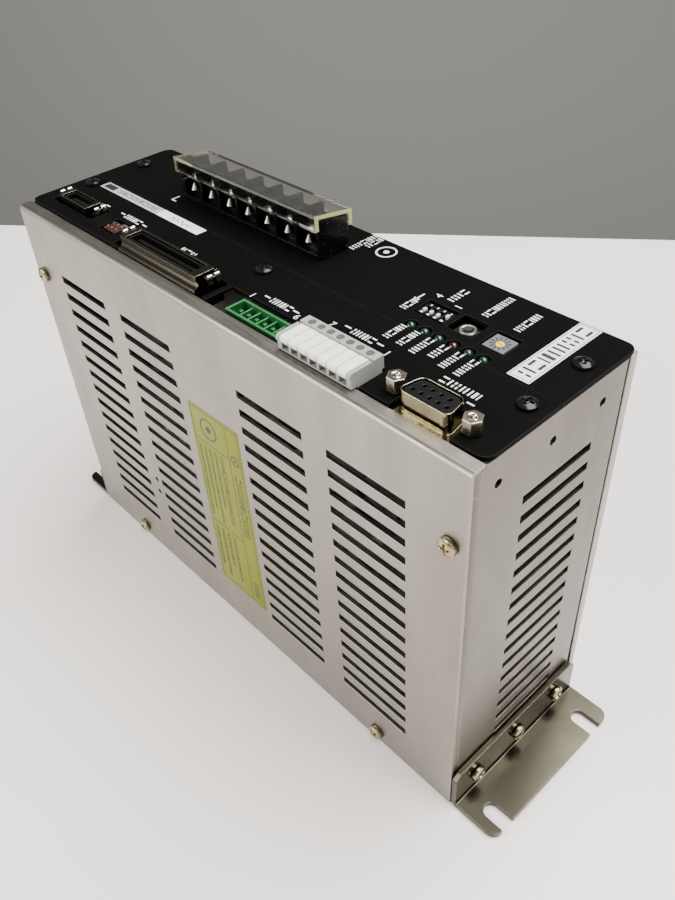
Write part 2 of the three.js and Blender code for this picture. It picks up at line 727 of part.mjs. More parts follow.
function makeDipBody() {
  const body = block(-5.45, 5.45, -2.9, 2.9, partFoot, 152.1);
  const wells = poleCentres(DIP.poles, DIP.pitch).map((x) => pad(x, 0, 1.5, 3.2, 150.6, 153));
  return cut(body, ...wells);
}

function makeButtonBody() {
  const body = pad(0, 0, 6, 6, partFoot, 149.6);
  const collar = bar("z", 2.6, 149, 150.6, 0, 0, 24);
  return cut(join(body, collar), bar("z", 1.55, 147.6, 151, 0, 0, 24));
}

function makeRotaryBody() {
  const body = pad(0, 0, 7.2, 7, partFoot, 152.3);
  return cut(body, bar("z", 1.65, 150.3, 153, 0, 0, 24));
}

function makeRotor() {
  const disc = bar("z", 1.35, 150.6, 152.2, 0, 0, 24);
  return cut(disc, pad(0, 0, 1.9, 0.55, 151.5, 153));
}

const display = assembly("display");
piece(display, "display_board", block(46, 92, -1, 20, displayTop - BOARD, displayTop), circuitBoard);
piece(display, "led_array", makeLedArray(), greenPlastic, LEDS.x, LEDS.y);
piece(display, "mode_switch_body", makeDipBody(), blackPlastic, DIP.x, DIP.y);
poleCentres(DIP.poles, DIP.pitch).forEach((x, i) => {
  const on = i < DIP.poles - 1 ? -1 : 1; // the last pole stands at OFF, the others at ON, towards the cover
  const slider = pad(0, 0, 0.9, 1.2, 150.9, 152.5);
  const name = `mode_slider_${DIP.poles - i}`;
  piece(display, name, slider, whitePlastic, DIP.x + x, DIP.y + (on * DIP.travel) / 2);
});
piece(display, "reset_button_body", makeButtonBody(), blackPlastic, BUTTON.x, BUTTON.y);
piece(display, "reset_button", bar("z", 1.3, 148.2, 151.6, 0, 0, 24), greyPlastic, BUTTON.x, BUTTON.y);
piece(display, "address_switch_body", makeRotaryBody(), greyPlastic, ROTARY.x, ROTARY.y);
piece(display, "address_rotor", makeRotor(), yellowPlastic, ROTARY.x, ROTARY.y);

// ---------------------------------------------------------------- boards and power parts inside the case

const boardHalf = endX - 5;
const controlBack = -16;
const powerFront = 20.4;
const powerBack = powerFront + BOARD;
const sinkFace = plateY - PLATE;

const inside = assembly("inside");
const controlBoard = block(-boardHalf, boardHalf, controlBack - BOARD, controlBack, 8, 149.5);
piece(inside, "control_board", controlBoard, circuitBoard);
piece(inside, "power_board", block(-boardHalf, boardHalf, powerFront, powerBack, 8, 144), circuitBoard);

const CAN = { radius: 15, length: 32, z: 40 };
[-78, -44].forEach((x, i) => {
  const can = bar("y", CAN.radius, powerFront - CLEAR - CAN.length, powerFront - CLEAR, x, CAN.z, 32);
  piece(inside, `bus_capacitor_${i + 1}`, can, sleeve);
});

function makeChoke() {
  const core = block(-18, 18, -24, 0, -15, 15);
  const windows = [-8, 8].map((x) => block(x - 4, x + 4, -25, 1, -9, 9));
  const coil = block(-11, 11, -20, -4, -8, 8);
  return join(cut(core, ...windows), coil);
}
piece(inside, "line_choke", makeChoke(), copper, 4, powerFront - CLEAR, 40);
piece(inside, "inrush_relay", block(-6.5, 6.5, -25, 0, -15, 15), blackPlastic, 42, powerFront - CLEAR, 40);

function makePowerTransformer() {
  const core = block(-14, 14, -22, 0, -16, 16);
  const bobbin = block(-18, 18, -18, -4, -10, 10);
  return join(core, bobbin);
}
piece(inside, "supply_transformer", makePowerTransformer(), sleeve, 74, powerFront - CLEAR, 44);

const moduleDepth = sinkFace - CLEAR - (powerBack + CLEAR);
const onSink = powerBack + CLEAR;
piece(inside, "power_module", block(-33, 33, 0, moduleDepth, -20, 20), blackPlastic, -30, onSink, 95);
piece(inside, "bridge_rectifier", block(-14, 14, 0, moduleDepth, -14, 14), blackPlastic, 48, onSink, 95);
piece(inside, "brake_resistor", block(-30, 30, 0, moduleDepth, -6, 6), greyPlastic, 50, onSink, 50);

export default drive;
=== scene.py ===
# %% [markdown]
# # A servo drive, finished in Blender
#
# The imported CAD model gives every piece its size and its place. This lesson gives those pieces their
# looks: broken edges, brushed and plated metal, painted panels, moulded plastic, printed marks, contacts
# and screws. Lengths are written in millimetres, as on a workshop drawing, and turned into metres in one
# place.

# %% Load the fixed frame
import math

import bpy
import numpy as np
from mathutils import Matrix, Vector


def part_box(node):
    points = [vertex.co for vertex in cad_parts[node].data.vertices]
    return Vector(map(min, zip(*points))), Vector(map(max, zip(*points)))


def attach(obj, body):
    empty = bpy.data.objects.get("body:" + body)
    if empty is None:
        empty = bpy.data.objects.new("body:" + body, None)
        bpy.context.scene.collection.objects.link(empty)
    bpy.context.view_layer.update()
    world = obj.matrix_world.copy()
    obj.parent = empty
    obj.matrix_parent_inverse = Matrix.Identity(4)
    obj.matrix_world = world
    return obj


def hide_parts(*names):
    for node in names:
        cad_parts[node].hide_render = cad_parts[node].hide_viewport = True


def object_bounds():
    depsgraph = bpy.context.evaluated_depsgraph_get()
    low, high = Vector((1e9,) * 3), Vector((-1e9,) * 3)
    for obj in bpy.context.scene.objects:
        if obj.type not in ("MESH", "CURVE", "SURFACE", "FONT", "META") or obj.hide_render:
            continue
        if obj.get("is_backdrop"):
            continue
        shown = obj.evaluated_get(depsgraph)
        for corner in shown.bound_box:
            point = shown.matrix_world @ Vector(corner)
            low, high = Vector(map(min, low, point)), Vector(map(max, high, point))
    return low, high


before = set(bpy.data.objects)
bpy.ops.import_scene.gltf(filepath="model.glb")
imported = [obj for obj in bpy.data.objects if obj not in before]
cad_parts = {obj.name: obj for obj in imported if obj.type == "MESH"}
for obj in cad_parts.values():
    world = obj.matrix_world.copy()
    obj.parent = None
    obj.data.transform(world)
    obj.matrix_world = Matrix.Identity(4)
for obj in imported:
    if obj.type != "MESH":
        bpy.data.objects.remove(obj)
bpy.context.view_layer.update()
MM = 0.001


def corners_of(node):
    """Lowest and highest corner of a CAD node, in millimetres."""
    low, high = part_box(node)
    return np.array(low) / MM, np.array(high) / MM


def middle_of(node):
    """Centre of a CAD node, in millimetres."""
    low, high = corners_of(node)
    return (low + high) / 2


PANEL_TOP = corners_of("signal_panel")[1][2]
COVER_FACE = corners_of("side_cover")[0][1]

# %% [markdown]
# ## Floor, light and camera
#
# The drive stands on its rear face on a pale table, with a grey wall far behind it. Bare metal looks like
# metal only when it has broad bright and dark areas to mirror, so the light comes from three large soft
# lamps and from an even grey room.

# %% Table and wall


def plain_material(name, colour, roughness):
    """A single even paint, which only the table and the wall use."""
    made = bpy.data.materials.new(name)
    made.use_nodes = True
    shader = made.node_tree.nodes["Principled BSDF"]
    shader.inputs["Base Color"].default_value = (*colour, 1)
    shader.inputs["Roughness"].default_value = roughness
    return made


def stage_sheet(name, corners, material):
    """A flat four-cornered sheet that isn't part of the object."""
    mesh = bpy.data.meshes.new(name)
    mesh.from_pydata(corners, [], [(0, 1, 2, 3)])
    mesh.materials.append(material)
    made = bpy.data.objects.new(name, mesh)
    bpy.context.scene.collection.objects.link(made)
    made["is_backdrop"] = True


# The table ends a little way behind the drive, and the wall stands well beyond that edge.
TABLE_LEVEL = -0.0002
EDGE_MIDDLE = np.array([-0.235, 0.233])
ALONG_EDGE = np.array([0.789, 0.614])
BEHIND = np.array([-0.614, 0.789])
TABLE_HALF_WIDTH = 2.6
TABLE_DEPTH = 4.0
WALL_GAP = 2.2
WALL_HALF_WIDTH = 4.0
WALL_FOOT, WALL_TOP = -2.0, 2.6


def edge_point(along, behind, level):
    """A point given by its distance along the table's rear edge, its distance behind it and its height."""
    x, y = EDGE_MIDDLE + along * ALONG_EDGE + behind * BEHIND
    return x, y, level


stage_sheet(
    "table",
    [
        edge_point(-TABLE_HALF_WIDTH, -TABLE_DEPTH, TABLE_LEVEL),
        edge_point(TABLE_HALF_WIDTH, -TABLE_DEPTH, TABLE_LEVEL),
        edge_point(TABLE_HALF_WIDTH, 0, TABLE_LEVEL),
        edge_point(-TABLE_HALF_WIDTH, 0, TABLE_LEVEL),
    ],
    plain_material("table_paint", (0.97, 0.905, 0.865), 0.35),
)
stage_sheet(
    "wall",
    [
        edge_point(-WALL_HALF_WIDTH, WALL_GAP, WALL_FOOT),
        edge_point(WALL_HALF_WIDTH, WALL_GAP, WALL_FOOT),
        edge_point(WALL_HALF_WIDTH, WALL_GAP, WALL_TOP),
        edge_point(-WALL_HALF_WIDTH, WALL_GAP, WALL_TOP),
    ],
    plain_material("wall_paint", (0.43, 0.432, 0.405), 0.9),
)

# %% Lamps and room


def soft_lamp(name, place, aim, size, power, colour):
    """A rectangular area lamp at place, turned to face the point aim."""
    data = bpy.data.lights.new(name, "AREA")
    data.shape = "RECTANGLE"
    data.size, data.size_y = size
    data.energy = power
    data.color = colour
    made = bpy.data.objects.new(name, data)
    made.location = place
    made.rotation_mode = "QUATERNION"
    made.rotation_quaternion = (Vector(aim) - Vector(place)).to_track_quat("-Z", "Y")
    bpy.context.scene.collection.objects.link(made)


MIDDLE = (0.0, 0.0, 0.08)
soft_lamp("ceiling_lamp", (0.25, 0.35, 1.2), MIDDLE, (1.2, 0.8), 41, (1.0, 0.985, 0.96))
soft_lamp("window_lamp", (-0.7, -1.3, 0.8), MIDDLE, (1.2, 0.9), 37, (1.0, 0.985, 0.965))
soft_lamp("side_lamp", (1.3, 0.0, 0.7), MIDDLE, (0.9, 0.9), 4, (1.0, 0.975, 0.945))

room = bpy.data.worlds.new("room")
room.use_nodes = True
backdrop = room.node_tree.nodes["Background"]
backdrop.inputs["Color"].default_value = (0.68, 0.67, 0.65, 1)
backdrop.inputs["Strength"].default_value = 0.42
bpy.context.scene.world = room

# %% Camera
lens = bpy.data.cameras.new("camera")
lens.sensor_width = 36
lens.lens = 33.95
lens.clip_start = 0.01
camera = bpy.data.objects.new("camera", lens)
camera.location = (0.1978, -0.1498, 0.2827)
camera.rotation_euler = [math.radians(turn) for turn in (49.496, 2.998, 46.739)]
bpy.context.scene.collection.objects.link(camera)
bpy.context.scene.camera = camera

# %% [markdown]
# ## Surfaces from formulas
#
# Nearly every small part of the drive is a profile carried round an outline: a hexagonal standoff, a
# drawn metal shell, a pin with a rounded tip, a label. Writing that once, as whole numpy arrays, keeps
# the pieces exact and short. The profile says how far each row stands out from the outline and how high
# it lies.

# %% Outlines


def circle(radius, count=32):
    """Points at radius * (cos a, sin a), anticlockwise."""
    angle = np.linspace(0, 2 * np.pi, count, endpoint=False)
    return radius * np.stack([np.cos(angle), np.sin(angle)], 1)


def rectangle(x0, x1, y0, y1, radius=0.3, steps=3):
    """A rectangle whose corners are quarter circles of the radius."""
    inwards = np.array([[-1, 1], [-1, -1], [1, -1], [1, 1]])
    centres = np.array([[x1, y0], [x1, y1], [x0, y1], [x0, y0]]) + radius * inwards
    turn = np.linspace(0, np.pi / 2, steps + 1)
    angle = np.array([-1, 0, 1, 2])[:, None] * np.pi / 2 + turn
    arcs = radius * np.stack([np.cos(angle), np.sin(angle)], -1)
    return (centres[:, None] + arcs).reshape(-1, 2)


# %% Profiles


def slab_profile(bottom, top, edge, steps=2):
    """(offset, height) rows of an upright side with quarter-round rims of the size edge."""
    turn = np.linspace(0, np.pi / 2, steps + 1)
    rim = edge * np.stack([np.sin(turn) - 1, 1 - np.cos(turn)], 1)
    return np.vstack([rim + (0, bottom), rim[::-1] * (1, -1) + (0, top)])


# %% Carry a profile round an outline


def grid_faces(around, along, ring):
    """Quads of a grid that closes round the outline and, for a ring, along the profile too."""
    i = np.arange(around)[:, None]
    j = np.arange(along if ring else along - 1)[None, :]
    right, up = (i + 1) % around, (j + 1) % along
    quads = [i * along + j, right * along + j, right * along + up, i * along + up]
    return np.stack(quads, -1).reshape(-1, 4).tolist()


def close_ends(around, along):
    """The two flat faces that close an open profile, at its first row and its last."""
    start = np.arange(around) * along
    return [start[::-1].tolist(), (start + along - 1).tolist()]


def carry(outline, profile, ring=False):
    """Point (i, j) is the outline's point i moved out along its mitred normal by the profile's offset j, at
    the profile's height j. A ring profile meets itself; any other is closed by a flat face at each end."""
    outline, profile = np.asarray(outline, float), np.asarray(profile, float)
    edge = np.roll(outline, -1, 0) - outline
    normal = np.stack([edge[:, 1], -edge[:, 0]], 1) / np.linalg.norm(edge, axis=1, keepdims=True)
    before = np.roll(normal, 1, 0)
    mitre = (before + normal) / (1 + (before * normal).sum(1, keepdims=True))
    flat = outline[:, None] + mitre[:, None] * profile[None, :, :1]
    height = np.broadcast_to(profile[None, :, 1:], (*flat.shape[:2], 1))
    around, along = len(outline), len(profile)
    faces = grid_faces(around, along, ring) + ([] if ring else close_ends(around, along))
    return np.concatenate([flat, height], 2).reshape(-1, 3), faces


def slab(outline, bottom, top, edge=0.1):
    return carry(outline, slab_profile(bottom, top, edge))


def block(x0, x1, y0, y1, bottom, top, edge=0.1):
    """A rounded block between two corners."""
    return slab(rectangle(x0, x1, y0, y1, edge * 1.2, 2), bottom, top, edge)


def spun(rows, count=32):
    """A body of revolution about Z: row j is a circle of the radius rows[j][0] at the height rows[j][1]."""
    radius, height = np.asarray(rows, float).T
    return carry(circle(1.0, count), np.stack([radius - 1.0, height], 1))


# %% Move, gather and place surfaces


def moved(surface, x=0.0, y=0.0, z=0.0):
    points, faces = surface
    return points + (x, y, z), faces


def stood(surface, direction, foot):
    """The surface with its own +Z along direction and its origin at foot."""
    points, faces = surface
    out = np.asarray(direction, float)
    across = (1.0, 0.0, 0.0) if abs(out[2]) > 0.9 else np.cross((0.0, 0.0, 1.0), out)
    basis = np.stack([across, np.cross(out, across), out])
    return points @ basis + foot, faces


def gathered(surfaces):
    """Several surfaces as one mesh."""
    points, faces, start = [], [], 0
    for some_points, some_faces in surfaces:
        points.append(some_points)
        faces += [[start + i for i in face] for face in some_faces]
        start += len(some_points)
    return np.vstack(points), faces


def make_piece(name, surface, material, body="case", stands_for=(), sharp=38):
    """Puts a surface, in millimetres, into the scene as a named piece that rides on a body."""
    points, faces = surface
    mesh = bpy.data.meshes.new(name)
    mesh.from_pydata((points * MM).tolist(), [], faces)
    mesh.shade_smooth()
    mesh.set_sharp_from_angle(angle=math.radians(sharp))
    mesh.materials.append(material)
    made = bpy.data.objects.new(name, mesh)
    bpy.context.scene.collection.objects.link(made)
    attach(made, body)
    if stands_for:
        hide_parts(*stands_for)
    return made


# %% [markdown]
# ## Finishes that several materials share
#
# Rolled sheet has fine streaks, plated parts have cloudy patches, edges are brighter, partly as rubbed wear
# and partly as a painted highlight, and everything that has stood in a cabinet carries a little dust. Each
# of these is one node group with named inputs, built once and given its own values in every material that
# needs it.

# %% Node helpers


def new_group(name, inputs, outputs):
    """An empty shader group with float inputs (name, default) and outputs (name, kind)."""
    group = bpy.data.node_groups.new(name, "ShaderNodeTree")
    for title, default in inputs:
        socket = group.interface.new_socket(title, in_out="INPUT", socket_type="NodeSocketFloat")
        socket.default_value = default
    for title, kind in outputs:
        group.interface.new_socket(title, in_out="OUTPUT", socket_type=kind)
    return group, group.nodes.new("NodeGroupInput"), group.nodes.new("NodeGroupOutput")


def add_node(tree, kind, values=(), links=(), **settings):
    """A node with its settings, its socket values and the sockets that feed it."""
    node = tree.nodes.new(kind)
    for key, value in settings.items():
        setattr(node, key, value)
    for key, value in dict(values).items():
        node.inputs[key].default_value = value
    for key, source in dict(links).items():
        tree.links.new(source, node.inputs[key])
    return node


def math_node(tree, operation, first, second=0.0, clamp=False):
    """One sum on two sockets or numbers; gives its output socket."""
    node = tree.nodes.new("ShaderNodeMath")
    node.operation = operation
    node.use_clamp = clamp
    for slot_number, value in enumerate((first, second)):
        if isinstance(value, (int, float)):
            node.inputs[slot_number].default_value = value
        else:
            tree.links.new(value, node.inputs[slot_number])
    return node.outputs[0]


def noise_on_object(tree, scale, stretch=(1, 1, 1), detail=3.0, roughness=0.55):
    """Noise on Object coordinates, drawn out along the axes where stretch is small."""
    place = tree.nodes.new("ShaderNodeTexCoord")
    mapping = add_node(tree, "ShaderNodeMapping", {"Scale": stretch}, {"Vector": place.outputs["Object"]})
    noise = add_node(
        tree, "ShaderNodeTexNoise", {"Detail": detail, "Roughness": roughness},
        {"Vector": mapping.outputs[0]},
    )
    if isinstance(scale, (int, float)):
        noise.inputs["Scale"].default_value = scale
    else:
        tree.links.new(scale, noise.inputs["Scale"])
    return noise.outputs["Fac"]


def remap(tree, value, low, high, to_low, to_high):
    node = add_node(
        tree,
        "ShaderNodeMapRange",
        {"From Min": low, "From Max": high, "To Min": to_low, "To Max": to_high},
        {"Value": value},
    )
    return node.outputs[0]


# %% Group: fine rolled or brushed streaks
FLOAT = "NodeSocketFloat"


def make_streak_group(name, stretch):
    """Streaks that run along the axis where stretch is small. Amount scales the height."""
    group, given, result = new_group(
        name, [("Scale", 2600.0), ("Amount", 1.0)], [("Streak", FLOAT), ("Height", FLOAT)],
    )
    streak = noise_on_object(group, given.outputs["Scale"], stretch, detail=2.0)
    group.links.new(streak, result.inputs["Streak"])
    group.links.new(
        math_node(group, "MULTIPLY", streak, given.outputs["Amount"]), result.inputs["Height"],
    )
    return group


streaks_along_x = make_streak_group("streaks along X", (0.03, 1, 1))
streaks_along_y = make_streak_group("streaks along Y", (1, 0.03, 1))

# %% Group: soft patches, as of handling, uneven plating or wiping


def make_patch_group(name, stretch):
    """Soft patches, drawn out along the axis where stretch is small. Contrast sets how far they differ."""
    group, given, result = new_group(name, [("Scale", 25.0), ("Contrast", 1.0)], [("Mask", FLOAT)])
    cloud = noise_on_object(group, given.outputs["Scale"], stretch, detail=5.0, roughness=0.6)
    centred = math_node(group, "SUBTRACT", cloud, 0.5)
    stronger = math_node(group, "MULTIPLY", centred, given.outputs["Contrast"])
    group.links.new(math_node(group, "ADD", stronger, 0.5, clamp=True), result.inputs["Mask"])
    return group


cloudy_patches = make_patch_group("cloudy patches", (1, 1, 1))
tall_patches = make_patch_group("tall patches", (1, 1, 0.22))

# %% Group: bright edges, partly rubbed wear and partly painted highlight
BEVEL_SAMPLES = 4
worn_and_highlit_inputs = [("Radius", 0.0004), ("Amount", 1.0)]
# The mask lightens the edges both as real rubbed wear and as a painted highlight where light catches them.
worn_and_highlit_edges, given, result = new_group("worn and highlit edges", worn_and_highlit_inputs, [("Mask", FLOAT)])
rounded = worn_and_highlit_edges.nodes.new("ShaderNodeBevel")
rounded.samples = BEVEL_SAMPLES
worn_and_highlit_edges.links.new(given.outputs["Radius"], rounded.inputs["Radius"])
surface_now = worn_and_highlit_edges.nodes.new("ShaderNodeNewGeometry")
facing = add_node(worn_and_highlit_edges, "ShaderNodeVectorMath", operation="DOT_PRODUCT")
worn_and_highlit_edges.links.new(rounded.outputs[0], facing.inputs[0])
worn_and_highlit_edges.links.new(surface_now.outputs["Normal"], facing.inputs[1])
turned_away = math_node(worn_and_highlit_edges, "SUBTRACT", 1.0, facing.outputs["Value"])
broken_up = math_node(worn_and_highlit_edges, "MULTIPLY", turned_away, noise_on_object(worn_and_highlit_edges, 900.0))
scaled = math_node(worn_and_highlit_edges, "MULTIPLY", broken_up, given.outputs["Amount"], clamp=True)
worn_and_highlit_edges.links.new(scaled, result.inputs["Mask"])

# %% Group: sparse specks of dust or pits
SPECK_STEEPNESS = 14.0
specks, given, result = new_group("specks", [("Scale", 900.0), ("Spread", 0.7)], [("Mask", FLOAT)])
speck = noise_on_object(specks, given.outputs["Scale"], detail=1.0)
above = math_node(specks, "SUBTRACT", speck, given.outputs["Spread"])
specks.links.new(math_node(specks, "MULTIPLY", above, SPECK_STEEPNESS, clamp=True), result.inputs["Mask"])


# %% [markdown]
# ## Materials
#
# A material starts as a list of plain numbers on the shader, and then gets its patterns: what changes the
# colour, what changes the roughness and what is felt as relief. Numbers that are the same all over stay
# on the shader's own sockets.

# %% Build one material
# Edges are lightened partly as rubbed wear and partly as a painted highlight.
EDGE_WEAR_AND_HIGHLIGHT_RADIUS, EDGE_WEAR_AND_HIGHLIGHT_GAIN = 0.0004, 6.0
DUST_COLOUR = (0.55, 0.54, 0.52)


def overlay(tree, paint, group, values, amount, tone):
    """The paint with a tone over it, as strong as the group's mask times the amount."""
    extra = add_node(tree, "ShaderNodeGroup", values, node_tree=group)
    share = math_node(tree, "MULTIPLY", extra.outputs["Mask"], amount, clamp=True)
    over = add_node(
        tree, "ShaderNodeMix", {"B": (*tone, 1)}, {"Factor": share, "A": paint}, data_type="RGBA"
    )
    return over.outputs["Result"]


def finish(
    name, colour, roughness, metallic=0.0, second_colour=None,
    clouds=cloudy_patches, patch_scale=25.0, patch_contrast=1.0, spread=0.08,
    streaks=None, streak_scale=2600.0, relief=0.0, relief_scale=1500.0,
    wear=0.0, worn_and_highlit_colour=(0.8, 0.78, 0.72), dust=0.0, dust_scale=900.0, dust_spread=0.68, **sockets,
):
    """A Principled material. The patches of the group clouds mix colour with second_colour and vary the
    roughness by spread. Streaks or fine noise give relief in millimetres, the edge amount lightens the
    edges, as rubbed wear and as a painted highlight, and dust adds pale specks."""
    made = bpy.data.materials.new(name)
    made.use_nodes = True
    tree = made.node_tree
    shader = tree.nodes["Principled BSDF"]
    shader.inputs["Metallic"].default_value = metallic
    for key, value in sockets.items():
        shader.inputs[key.replace("_", " ").title().replace("Ior", "IOR")].default_value = value

    cloud = add_node(
        tree, "ShaderNodeGroup", {"Scale": patch_scale, "Contrast": patch_contrast}, node_tree=clouds
    )
    mask = cloud.outputs["Mask"]
    other = second_colour or [0.8 * part for part in colour]
    ends = {"A": (*colour, 1), "B": (*other, 1)}
    paint = add_node(tree, "ShaderNodeMix", ends, {"Factor": mask}, data_type="RGBA").outputs["Result"]
    rough = remap(tree, mask, 0, 1, roughness - spread, roughness + spread)

    if streaks:
        streak = add_node(tree, "ShaderNodeGroup", {"Scale": streak_scale}, node_tree=streaks)
        change = remap(tree, streak.outputs["Streak"], 0.3, 0.7, -spread, spread)
        rough = math_node(tree, "ADD", rough, change)
        height = streak.outputs["Height"]
    else:
        height = noise_on_object(tree, relief_scale)
    if wear:
        edges_now = {"Radius": EDGE_WEAR_AND_HIGHLIGHT_RADIUS, "Amount": EDGE_WEAR_AND_HIGHLIGHT_GAIN}
        paint = overlay(tree, paint, worn_and_highlit_edges, edges_now, wear, worn_and_highlit_colour)
    if dust:
        dust_now = {"Scale": dust_scale, "Spread": dust_spread}
        paint = overlay(tree, paint, specks, dust_now, dust, DUST_COLOUR)
    if relief:
        sizes = {"Distance": relief * MM, "Strength": 1.0}
        bump = add_node(tree, "ShaderNodeBump", sizes, {"Height": height})
        tree.links.new(bump.outputs[0], shader.inputs["Normal"])
    tree.links.new(paint, shader.inputs["Base Color"])
    tree.links.new(rough, shader.inputs["Roughness"])
    return made


# %% Metals
# The pale edges of these metals are partly rubbed wear and partly a painted highlight.
case_metal = dict(
    clouds=tall_patches, patch_scale=45.0, patch_contrast=2.2, spread=0.06, streak_scale=2200.0,
    relief=0.012, wear=0.35, dust=0.12, dust_scale=700.0, metallic=1.0,
)
cover_aluminium = finish(
    "cover_aluminium", (0.310, 0.292, 0.260), 0.40, streaks=streaks_along_x, **case_metal,
)
chassis_aluminium = finish(
    "chassis_aluminium", (0.182, 0.168, 0.149), 0.36, streaks=streaks_along_y, **case_metal,
)
plate_aluminium = finish(
    "plate_aluminium", (0.42, 0.41, 0.395), 0.44, streaks=streaks_along_x, **case_metal,
)
nickel = finish(
    "nickel_plate", (0.075, 0.068, 0.049), 0.24, 1.0, second_colour=(0.058, 0.052, 0.038),
    patch_scale=60.0, patch_contrast=1.5, spread=0.06, relief=0.006, relief_scale=2500.0, wear=0.4,
    worn_and_highlit_colour=(0.82, 0.77, 0.66),
)
bracket_nickel = finish(
    "bracket_nickel", (0.064, 0.0588, 0.0432), 0.24, 1.0, second_colour=(0.048, 0.044, 0.032),
    patch_scale=45.0, patch_contrast=2.0, spread=0.07, relief=0.01, relief_scale=2400.0, wear=0.5,
    worn_and_highlit_colour=(0.75, 0.70, 0.60),
)
yellow_zinc = finish(
    "yellow_zinc", (0.36, 0.30, 0.14), 0.22, 1.0, second_colour=(0.34, 0.31, 0.22), patch_scale=320.0,
    patch_contrast=2.2, spread=0.08, wear=0.3,
)
black_zinc = finish(
    "black_zinc", (0.005, 0.005, 0.0055), 0.2, patch_scale=400.0, spread=0.06, relief=0.004,
    specular_ior_level=0.3,
)
pale_chromate = finish(
    "pale_chromate", (0.42, 0.37, 0.235), 0.11, 1.0, second_colour=(0.26, 0.225, 0.14),
    patch_scale=220.0, patch_contrast=2.0, spread=0.05, relief=0.03, relief_scale=350.0, wear=0.5,
)
bright_nickel = finish(
    "bright_nickel", (0.74, 0.70, 0.60), 0.16, 1.0, second_colour=(0.6, 0.56, 0.47), patch_scale=200.0,
    wear=0.5,
)
steel_jack = finish(
    "jack_steel", (0.46, 0.41, 0.34), 0.25, 1.0, second_colour=(0.34, 0.30, 0.24), patch_scale=260.0,
    patch_contrast=2.0, wear=0.5,
)
contact_gold = finish("contact_gold", (0.80, 0.60, 0.24), 0.25, 1.0, patch_scale=500.0, spread=0.05)
tinned_pin = finish("tinned_pin", (0.72, 0.70, 0.66), 0.25, 1.0, patch_scale=500.0, spread=0.06)

# %% Paint and plastics
panel_black = finish(
    "panel_black", (0.0014, 0.0015, 0.0015), 0.62, specular_ior_level=0.03,
    second_colour=(0.003, 0.0031, 0.0031), patch_scale=18.0, patch_contrast=1.8, spread=0.05,
    relief=0.006, relief_scale=2800.0, wear=0.05, dust=0.02, dust_scale=1400.0, dust_spread=0.72,
)
insert_black = finish(
    "insert_black", (0.003, 0.003, 0.0033), 0.35, relief=0.004, dust=0.01, specular_ior_level=0.2,
)
terminal_black = finish(
    "terminal_black", (0.003, 0.003, 0.0034), 0.2, spread=0.06, relief=0.004, relief_scale=900.0,
    dust=0.05, specular_ior_level=0.15,
)
# Its light green edges are a painted highlight, laid on with the edge mask.
header_green = finish(
    "header_green", (0.011, 0.105, 0.027), 0.34, second_colour=(0.008, 0.078, 0.020), patch_scale=150.0,
    relief=0.006, wear=1.0, worn_and_highlit_colour=(0.16, 0.55, 0.22),
)
plug_white = finish(
    "plug_white", (0.88, 0.875, 0.80), 0.42, second_colour=(0.84, 0.835, 0.76), patch_scale=90.0,
    relief=0.006, dust=0.04, subsurface_weight=0.05, subsurface_scale=0.002,
)
plug_body_grey = finish(
    "plug_body_grey", (0.34, 0.34, 0.32), 0.45, second_colour=(0.27, 0.27, 0.25), patch_scale=90.0,
    relief=0.006,
)
# Dark grey of the wire entries: partly the clamp and partly painted shade of the holes.
wire_entry_painted_shade_grey = finish("wire_entry_painted_shade_grey", (0.075, 0.075, 0.068), 0.55, patch_scale=200.0)
jumper_red = finish(
    "jumper_red", (0.050, 0.006, 0.004), 0.45, second_colour=(0.018, 0.003, 0.002), patch_scale=400.0,
    patch_contrast=2.0, relief=0.01,
)
slider_white = finish("slider_white", (0.80, 0.80, 0.78), 0.4, patch_scale=300.0)
rotary_grey = finish("rotary_grey", (0.125, 0.125, 0.137), 0.5, patch_scale=300.0, relief=0.004)
rotor_yellow = finish(
    "rotor_yellow", (0.92, 0.66, 0.006), 0.38, second_colour=(0.80, 0.55, 0.004), patch_scale=300.0,
    specular_ior_level=0.2,
)
cap_brown = finish("cap_brown", (0.032, 0.028, 0.023), 0.6, patch_scale=400.0, specular_ior_level=0.2)
dull_guide = finish("dull_guide", (0.40, 0.38, 0.34), 0.35, 1.0, patch_scale=500.0, spread=0.06)
dull_pin = finish("dull_pin", (0.15, 0.12, 0.10), 0.42, 1.0, patch_scale=500.0, spread=0.06)
board_green = finish(
    "board_green", (0.012, 0.085, 0.038), 0.35, second_colour=(0.008, 0.055, 0.026), patch_scale=180.0,
    patch_contrast=2.4, relief=0.01, relief_scale=700.0,
)
board_deep_green = finish(
    "board_deep_green", (0.004, 0.026, 0.013), 0.4, second_colour=(0.002, 0.010, 0.005),
    patch_scale=400.0, patch_contrast=2.4, relief=0.01, relief_scale=700.0,
)
# The boards inside the case are painted near black. This is painted shade, since little light reaches them
# through the vents.
board_green_painted_shade = finish(
    "board_green_painted_shade", (0.004, 0.018, 0.010), 0.4, second_colour=(0.003, 0.010, 0.006), patch_scale=120.0,
    patch_contrast=2.4,
)
lamp_green = finish(
    "lamp_green", (0.0012, 0.028, 0.012), 0.1, second_colour=(0.0008, 0.016, 0.007), patch_scale=500.0,
    spread=0.02, coat_weight=0.6,
)
lamp_red = finish(
    "lamp_red", (0.030, 0.0028, 0.0024), 0.1, second_colour=(0.016, 0.0016, 0.0014), patch_scale=500.0,
    spread=0.02, coat_weight=0.6,
)
sleeve_blue = finish("sleeve_blue", (0.012, 0.018, 0.035), 0.25, patch_scale=40.0)
winding = finish(
    "winding", (0.36, 0.12, 0.035), 0.35, 0.6, streaks=streaks_along_x, streak_scale=1800.0, relief=0.1,
)
ceramic_case = finish("ceramic_case", (0.55, 0.53, 0.48), 0.7, relief=0.02)
